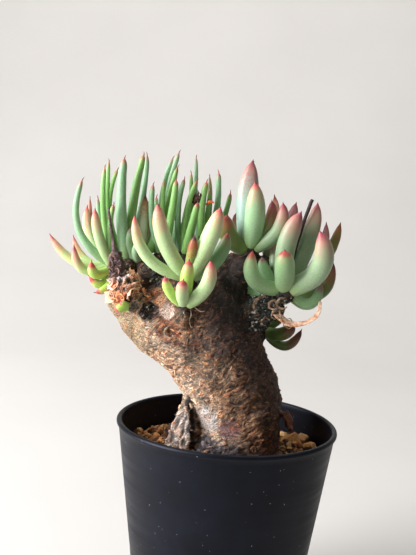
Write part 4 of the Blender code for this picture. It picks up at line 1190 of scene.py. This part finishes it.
FINE_ROOTS = (
    ((-17.6, -17.4, 133.5, 0.22), (-17.0, -18.8, 131.0, 0.2), (-17.5, -18.9, 128.5, 0.18), (-16.7, -18.6, 125.9, 0.12)),
    ((-19.2, -17.6, 133.8, 0.2), (-20.0, -19.4, 132.2, 0.18), (-19.2, -19.6, 130.2, 0.1)),
    ((-15.8, -17.4, 133.6, 0.2), (-13.6, -18.6, 132.4, 0.16), (-11.8, -18.0, 132.6, 0.1)),
)
DRY_CURL = ((11.3, -9.6, 138.8, 0.5), (9.4, -11.4, 138.3, 0.55), (7.6, -11.8, 136.9, 0.55),
            (7.0, -11.6, 134.8, 0.5), (7.8, -10.6, 132.8, 0.4), (9.0, -9.0, 131.8, 0.3))
# Rings of old bark on the stub and beside it: middle, radius, half width, first and last degree
BARK_RINGS = (
    ((21.5, -6.5, 128.0), 1.9, 0.26, 110, -190), ((14.6, -11.2, 135.6), 1.7, 0.5, 0, 300),
    ((18.2, -10.6, 136.4), 2.1, 0.55, 40, 330), ((16.0, -11.6, 131.8), 1.8, 0.5, -60, 240),
    ((12.0, -12.2, 129.0), 1.5, 0.35, 20, 250), ((-24.6, -17.6, 123.4), 2.2, 0.4, 30, 320),
)


def smooth_path(rows, steps=6):
    """Places and half widths on a smooth line through rows of x, y, z and half width."""
    rows = np.array(rows, float)
    rows = np.vstack((2.0 * rows[0] - rows[1], rows, 2.0 * rows[-1] - rows[-2]))
    smooth = []
    for i in range(1, len(rows) - 2):
        a, b, c, d = rows[i - 1:i + 3]
        for t in np.arange(steps) / steps:
            smooth.append(b + 0.5 * t * (c - a + t * (2 * a - 5 * b + 4 * c - d + t * (3 * (b - c) + d - a))))
    smooth.append(rows[-2])
    return [mm(*row[:3]) for row in smooth], [max(row[3], 0.03) * MM for row in smooth]


def strand(rows, upper=(0.0, -1.0, 0.0), steps=6):
    """A strip for the sweeping tree from rows in millimetres."""
    points, widths = smooth_path(rows, steps)
    return {"points": points, "widths": widths, "upper": upper, "facts": {}}


def ring_rows(middle, radius, width, first, last):
    """Rows on a ragged arc that faces the viewer."""
    rows = []
    for k in range(9):
        turn = math.radians(first + (last - first) * k / 8.0)
        size = radius * (1.0 + 0.14 * math.sin(5.0 * turn + middle[0]))
        thin = width * (1.0 - 0.6 * abs(k / 4.0 - 1.0) ** 2)
        rows.append((middle[0] + size * math.cos(turn), middle[1] + 0.35 * size * math.sin(2.0 * turn),
                     middle[2] + size * math.sin(turn), thin))
    return rows


def sepals(middle, count, seed):
    """Curled sepals around the middle of a dried flower."""
    draw = random.Random(seed)
    strands = []
    for k in range(count):
        turn = 2.0 * math.pi * (k + draw.uniform(-0.3, 0.3)) / count
        out, high = draw.uniform(1.6, 3.2), draw.uniform(0.5, 4.2)
        x, y = math.cos(turn), math.sin(turn)
        rows = [(middle[0], middle[1], middle[2] - 1.0, 0.4),
                (middle[0] + x * out * 0.7, middle[1] + y * out * 0.7, middle[2] + high * 0.4, 0.6),
                (middle[0] + x * out, middle[1] + y * out, middle[2] + high, 0.4),
                (middle[0] + x * out * 0.7, middle[1] + y * out * 0.7, middle[2] + high * 1.25, 0.15)]
        strands.append(strand(rows, (x, y, 0.3), 3))
    return strands


# %% Mix the dry finishes and sweep the dry pieces
def dried(name, codes, size, rough):
    """Dead plant matter: brittle and dull, blotched in three colours, wrinkled."""
    made, tree, shader = new_material(name, {"Roughness": rough, "IOR": 1.48})
    where = add(tree, "ShaderNodeTexCoord").outputs["Object"]
    blotch = add(tree, "ShaderNodeTexNoise", {"Vector": where, "Scale": per(size), "Detail": 5.0, "Roughness": 0.7})
    ramp = add(tree, "ShaderNodeValToRGB", {0: blotch})
    elements = ramp.color_ramp.elements
    for i, (code, position) in enumerate(zip(codes, (0.36, 0.5, 0.64))):
        stop = elements[i] if i < 2 else elements.new(position)
        stop.position = position
        stop.color = colour(code)
    tree.links.new(ramp.outputs[0], shader.inputs["Base Color"])
    bump = add(tree, "ShaderNodeBump", {"Height": blotch, "Strength": 0.6, "Distance": 0.25 * MM})
    tree.links.new(bump.outputs[0], shader.inputs["Normal"])
    return made


UMBER = dried("brittle_dried_stalk", ("2A1D1C", "4C3A38", "7A6560"), 1.4, 0.75)
PAPER = dried("withered_leaf_skin", ("A8652F", "D2A382", "EAD0BC"), 1.6, 0.6)
SOOT = dried("blackened_dry_twig", ("16100F", "2A1D1B", "4A2F28"), 1.2, 0.65)
HUSK = dried("old_bark_ring", ("4A3627", "8A6E55", "B79C80"), 1.1, 0.8)
stalk = sweep("dried_flower_stalk", [strand(DRY_STALK, steps=10)], UMBER, 14, 0.9, 0.0, 1.1, 1.3)
place(stalk, "bark", "dry_stalk")
places, normals = read_points(stalk)
write_fact(stalk, "scaly", smoothstep(154.0, 150.0, places[:, 2]))
write_fact(stalk, "fibre", np.tile(np.array((0.0, 0.0, 1.0)), (len(places), 1)))
write_fact(stalk, "bark_colour", np.tile(np.array(colour("5A4644")), (len(places), 1)))
place(scatter("stalk_scales", stalk, scales(6, 25), loose_bark("shrivelled_stalk_scale", 0.4, 1.9, 0.15, 0.7),
              True, density=0.9 / MM ** 2, where="scaly", seed=6, smallest=0.9, largest=2.3,
              lift=-0.1 * MM, tilt=0.6, spin=0.9), "bark")
place(sweep("withered_leaf", [strand(WITHERED_LEAF, (0.1, -0.6, 0.8))], PAPER, 14, 0.34, 0.75, 0.45, 2.2),
      "dry_leaf", "dry_leaf")
place(sweep("black_twig", [strand(BLACK_TWIG)], SOOT, 10, 0.85, 0.0, 0.35, 2.5), "bark")
place(sweep("dried_flower", [strand(FLOWER_STALK)] + sepals(FLOWER_HEAD, 13, 51),
            dried("dried_flower_head", ("1E1412", "54342A", "946A4C"), 0.9, 0.7), 6, 0.5, 0.0, 0.4, 1.2), "bark")
place(sweep("orange_sepal", [strand(ORANGE_SEPAL)], dried("dried_orange_petal", ("8E2F14", "D25A1E", "E2803A"), 0.9, 0.6),
            8, 0.6), "bark")
place(sweep("fine_roots", [strand(rows) for rows in FINE_ROOTS],
            dried("pale_fine_root", ("8E7B62", "BFAE92", "DDD2BE"), 1.2, 0.7), 6), "bark")
rings = [strand(ring_rows(*ring), steps=3) for ring in BARK_RINGS]
place(sweep("old_bark_rings", [strand(DRY_CURL)] + rings, HUSK, 8, 0.6, 0.0, 0.35, 1.0), "bark")

# %% [markdown]
# The soil is gritty: baked clay and small stones over darker fines. The solid's surface is copied,
# and grains of two sizes are scattered over it, angular because each is the convex hull of a few
# random points. The few largest stones lie where they catch the eye, so they are listed one by one.

# %% Lay the soil and its grit
SOIL_VOXEL = 1.1
GRIT_FROM = 69.0
GRIT_WITHIN = 40.2
# Large stones: middle of the stone and its length
STONES = (
    ((28.4, 12.5, 73.4), 12.0), ((33.4, 15.6, 74.0), 8.0), ((35.6, 8.8, 73.0), 7.0), ((26.0, 25.8, 71.8), 6.5),
    ((31.5, 7.0, 72.0), 5.2), ((36.5, 1.0, 71.6), 5.0), ((20.0, 31.0, 71.6), 5.0), ((-23.5, 29.8, 71.6), 3.6),
    ((-27.4, 11.9, 71.2), 4.0), ((-33.0, 14.0, 71.6), 4.0), ((31.0, -13.0, 71.0), 5.0), ((-30.0, -18.0, 71.0), 4.4),
)

soil = fine_copy("soil", "soil_bed", SOIL_VOXEL, 3)
places, normals = read_points(soil)
loose = smoothstep(GRIT_FROM, GRIT_FROM + 1.5, places[:, 2]) * smoothstep(0.2, 0.6, normals[:, 2])
loose *= smoothstep(GRIT_WITHIN, GRIT_WITHIN - 1.2, np.hypot(places[:, 0], places[:, 1]))
write_fact(soil, "loose", loose)
write_fact(soil, "shade", np.zeros(len(places)))
write_fact(soil, "fibre", np.tile(np.array((1.0, 0.0, 0.0)), (len(places), 1)))
soil.data.shade_smooth()
soil.data.materials.append(gritty("damp_soil_fines", ("3E2B1D", "30221A"), 0.95))
place(soil, "soil_grit", "soil")

GRIT = gritty("baked_clay_grit", ("C08A50", "8A5A30", "C79C68", "9C6836", "4E3220", "B58A5A", "66482F"), 0.88)
for name, seed, density, sizes in (
        ("grit_fine", 31, 0.5, (0.9, 1.7)), ("grit_coarse", 37, 0.1, (2.0, 3.8))):
    grit = scatter(name, soil, pebbles(seed, 16), GRIT, False, density=density / MM ** 2, where="loose",
                   seed=seed, smallest=sizes[0], largest=sizes[1], lift=0.25 * MM, tilt=0.7, spin=3.1)
    place(grit, "soil_grit")


def lay_stones(finish):
    """The large stones as one object, each a hull with its sharpest edges knocked off."""
    draw = random.Random(61)
    shape = bmesh.new()
    tones = []
    for middle_of, length in STONES:
        stone = pebble("stone", draw, 22, (1.1, 0.9, 0.75))
        turn = Matrix.Rotation(draw.uniform(0.0, 6.3), 4, Vector((draw.random(), draw.random(), 1.0)))
        stone.data.transform(Matrix.Translation(mm(*middle_of)) @ turn @ Matrix.Scale(length, 4))
        shape.from_mesh(stone.data)
        tones += [draw.choice((0.0, 0.75, 0.3))] * (len(shape.verts) - len(tones))
        bpy.data.objects.remove(stone)
    stones = from_bmesh("large_stones", shape)
    write_fact(stones, "shade", np.array(tones))
    worn = stones.modifiers.new("Worn", "BEVEL")
    worn.width = 0.28 * MM
    worn.segments = 2
    worn.limit_method = "NONE"
    bake(stones)
    stones.data.materials.clear()
    stones.data.materials.append(finish)
    return stones


place(lay_stones(GRIT), "soil_grit")

# %% [markdown]
# The floor and the backdrop are one pale sheet that curves up behind the plant, so no horizon
# shows. A wide soft light stands at the left and a little in front, as a window would, and the
# pale surroundings fill the shadows.

# %% Set the stage and the light
def stage_sheet():
    """A pale sweep: flat under the plant, curving up behind it and in front of nothing."""
    shape = bmesh.new()
    rows = []
    half, front, bend, height, steps = 1.6, -1.4, 0.9, 1.6, 16
    outline = [(front, 0.0)]
    for k in range(steps + 1):
        turn = math.pi / 2.0 * k / steps
        outline.append((bend * math.sin(turn) + 0.5, bend - bend * math.cos(turn)))
    outline.append((bend + 0.5, height))
    for y, z in outline:
        rows.append([shape.verts.new((x, y, z)) for x in (-half, half)])
    for near, far in zip(rows, rows[1:]):
        shape.faces.new((near[0], near[1], far[1], far[0]))
    made, tree, shader = new_material("pale_painted_board", {"Roughness": 0.9})
    where = add(tree, "ShaderNodeTexCoord").outputs["Object"]
    cloud = add(tree, "ShaderNodeTexNoise", {"Vector": where, "Scale": per(180.0), "Detail": 3.0})
    tone = add(tree, "ShaderNodeMix", {"Factor": cloud, "A": colour("C2BFBA"),
                                       "B": colour("CDCAC5")}, data_type="RGBA")
    tree.links.new(tone.outputs[2], shader.inputs["Base Color"])
    sheet = from_bmesh("stage_sheet", shape)
    sheet.data.materials.append(made)
    sheet.data.shade_smooth()
    return sheet


def soft_light(name, place_at, target, size, power, tint):
    """A square area light that looks at a point."""
    data = bpy.data.lights.new(name, "AREA")
    data.shape = "RECTANGLE"
    data.size, data.size_y = size
    data.energy = power
    data.color = colour(tint)[:3]
    made = bpy.data.objects.new(name, data)
    bpy.context.scene.collection.objects.link(made)
    made.location = place_at
    made.rotation_euler = (Vector(target) - Vector(place_at)).to_track_quat("-Z", "Y").to_euler()
    return made


stage_sheet()
middle = (0.0, 0.0, 0.13)
soft_light("window", (-0.85, -0.3, 0.42), middle, (0.7, 0.8), 30.0, "FBFBFF")
soft_light("backdrop_light", (0.0, 0.2, 1.3), (0.0, 1.3, 0.4), (1.6, 0.6), 15.5, "FDFBFA")
soft_light("fill", (0.8, -0.6, 0.5), middle, (0.8, 0.8), 0.3, "EAF0FF")
world = bpy.data.worlds.new("pale_surroundings")
world.use_nodes = True
world.node_tree.nodes["Background"].inputs["Color"].default_value = colour("F0F1F2")
world.node_tree.nodes["Background"].inputs["Strength"].default_value = 0.14
bpy.context.scene.world = world
bpy.context.scene.view_settings.view_transform = "Standard"
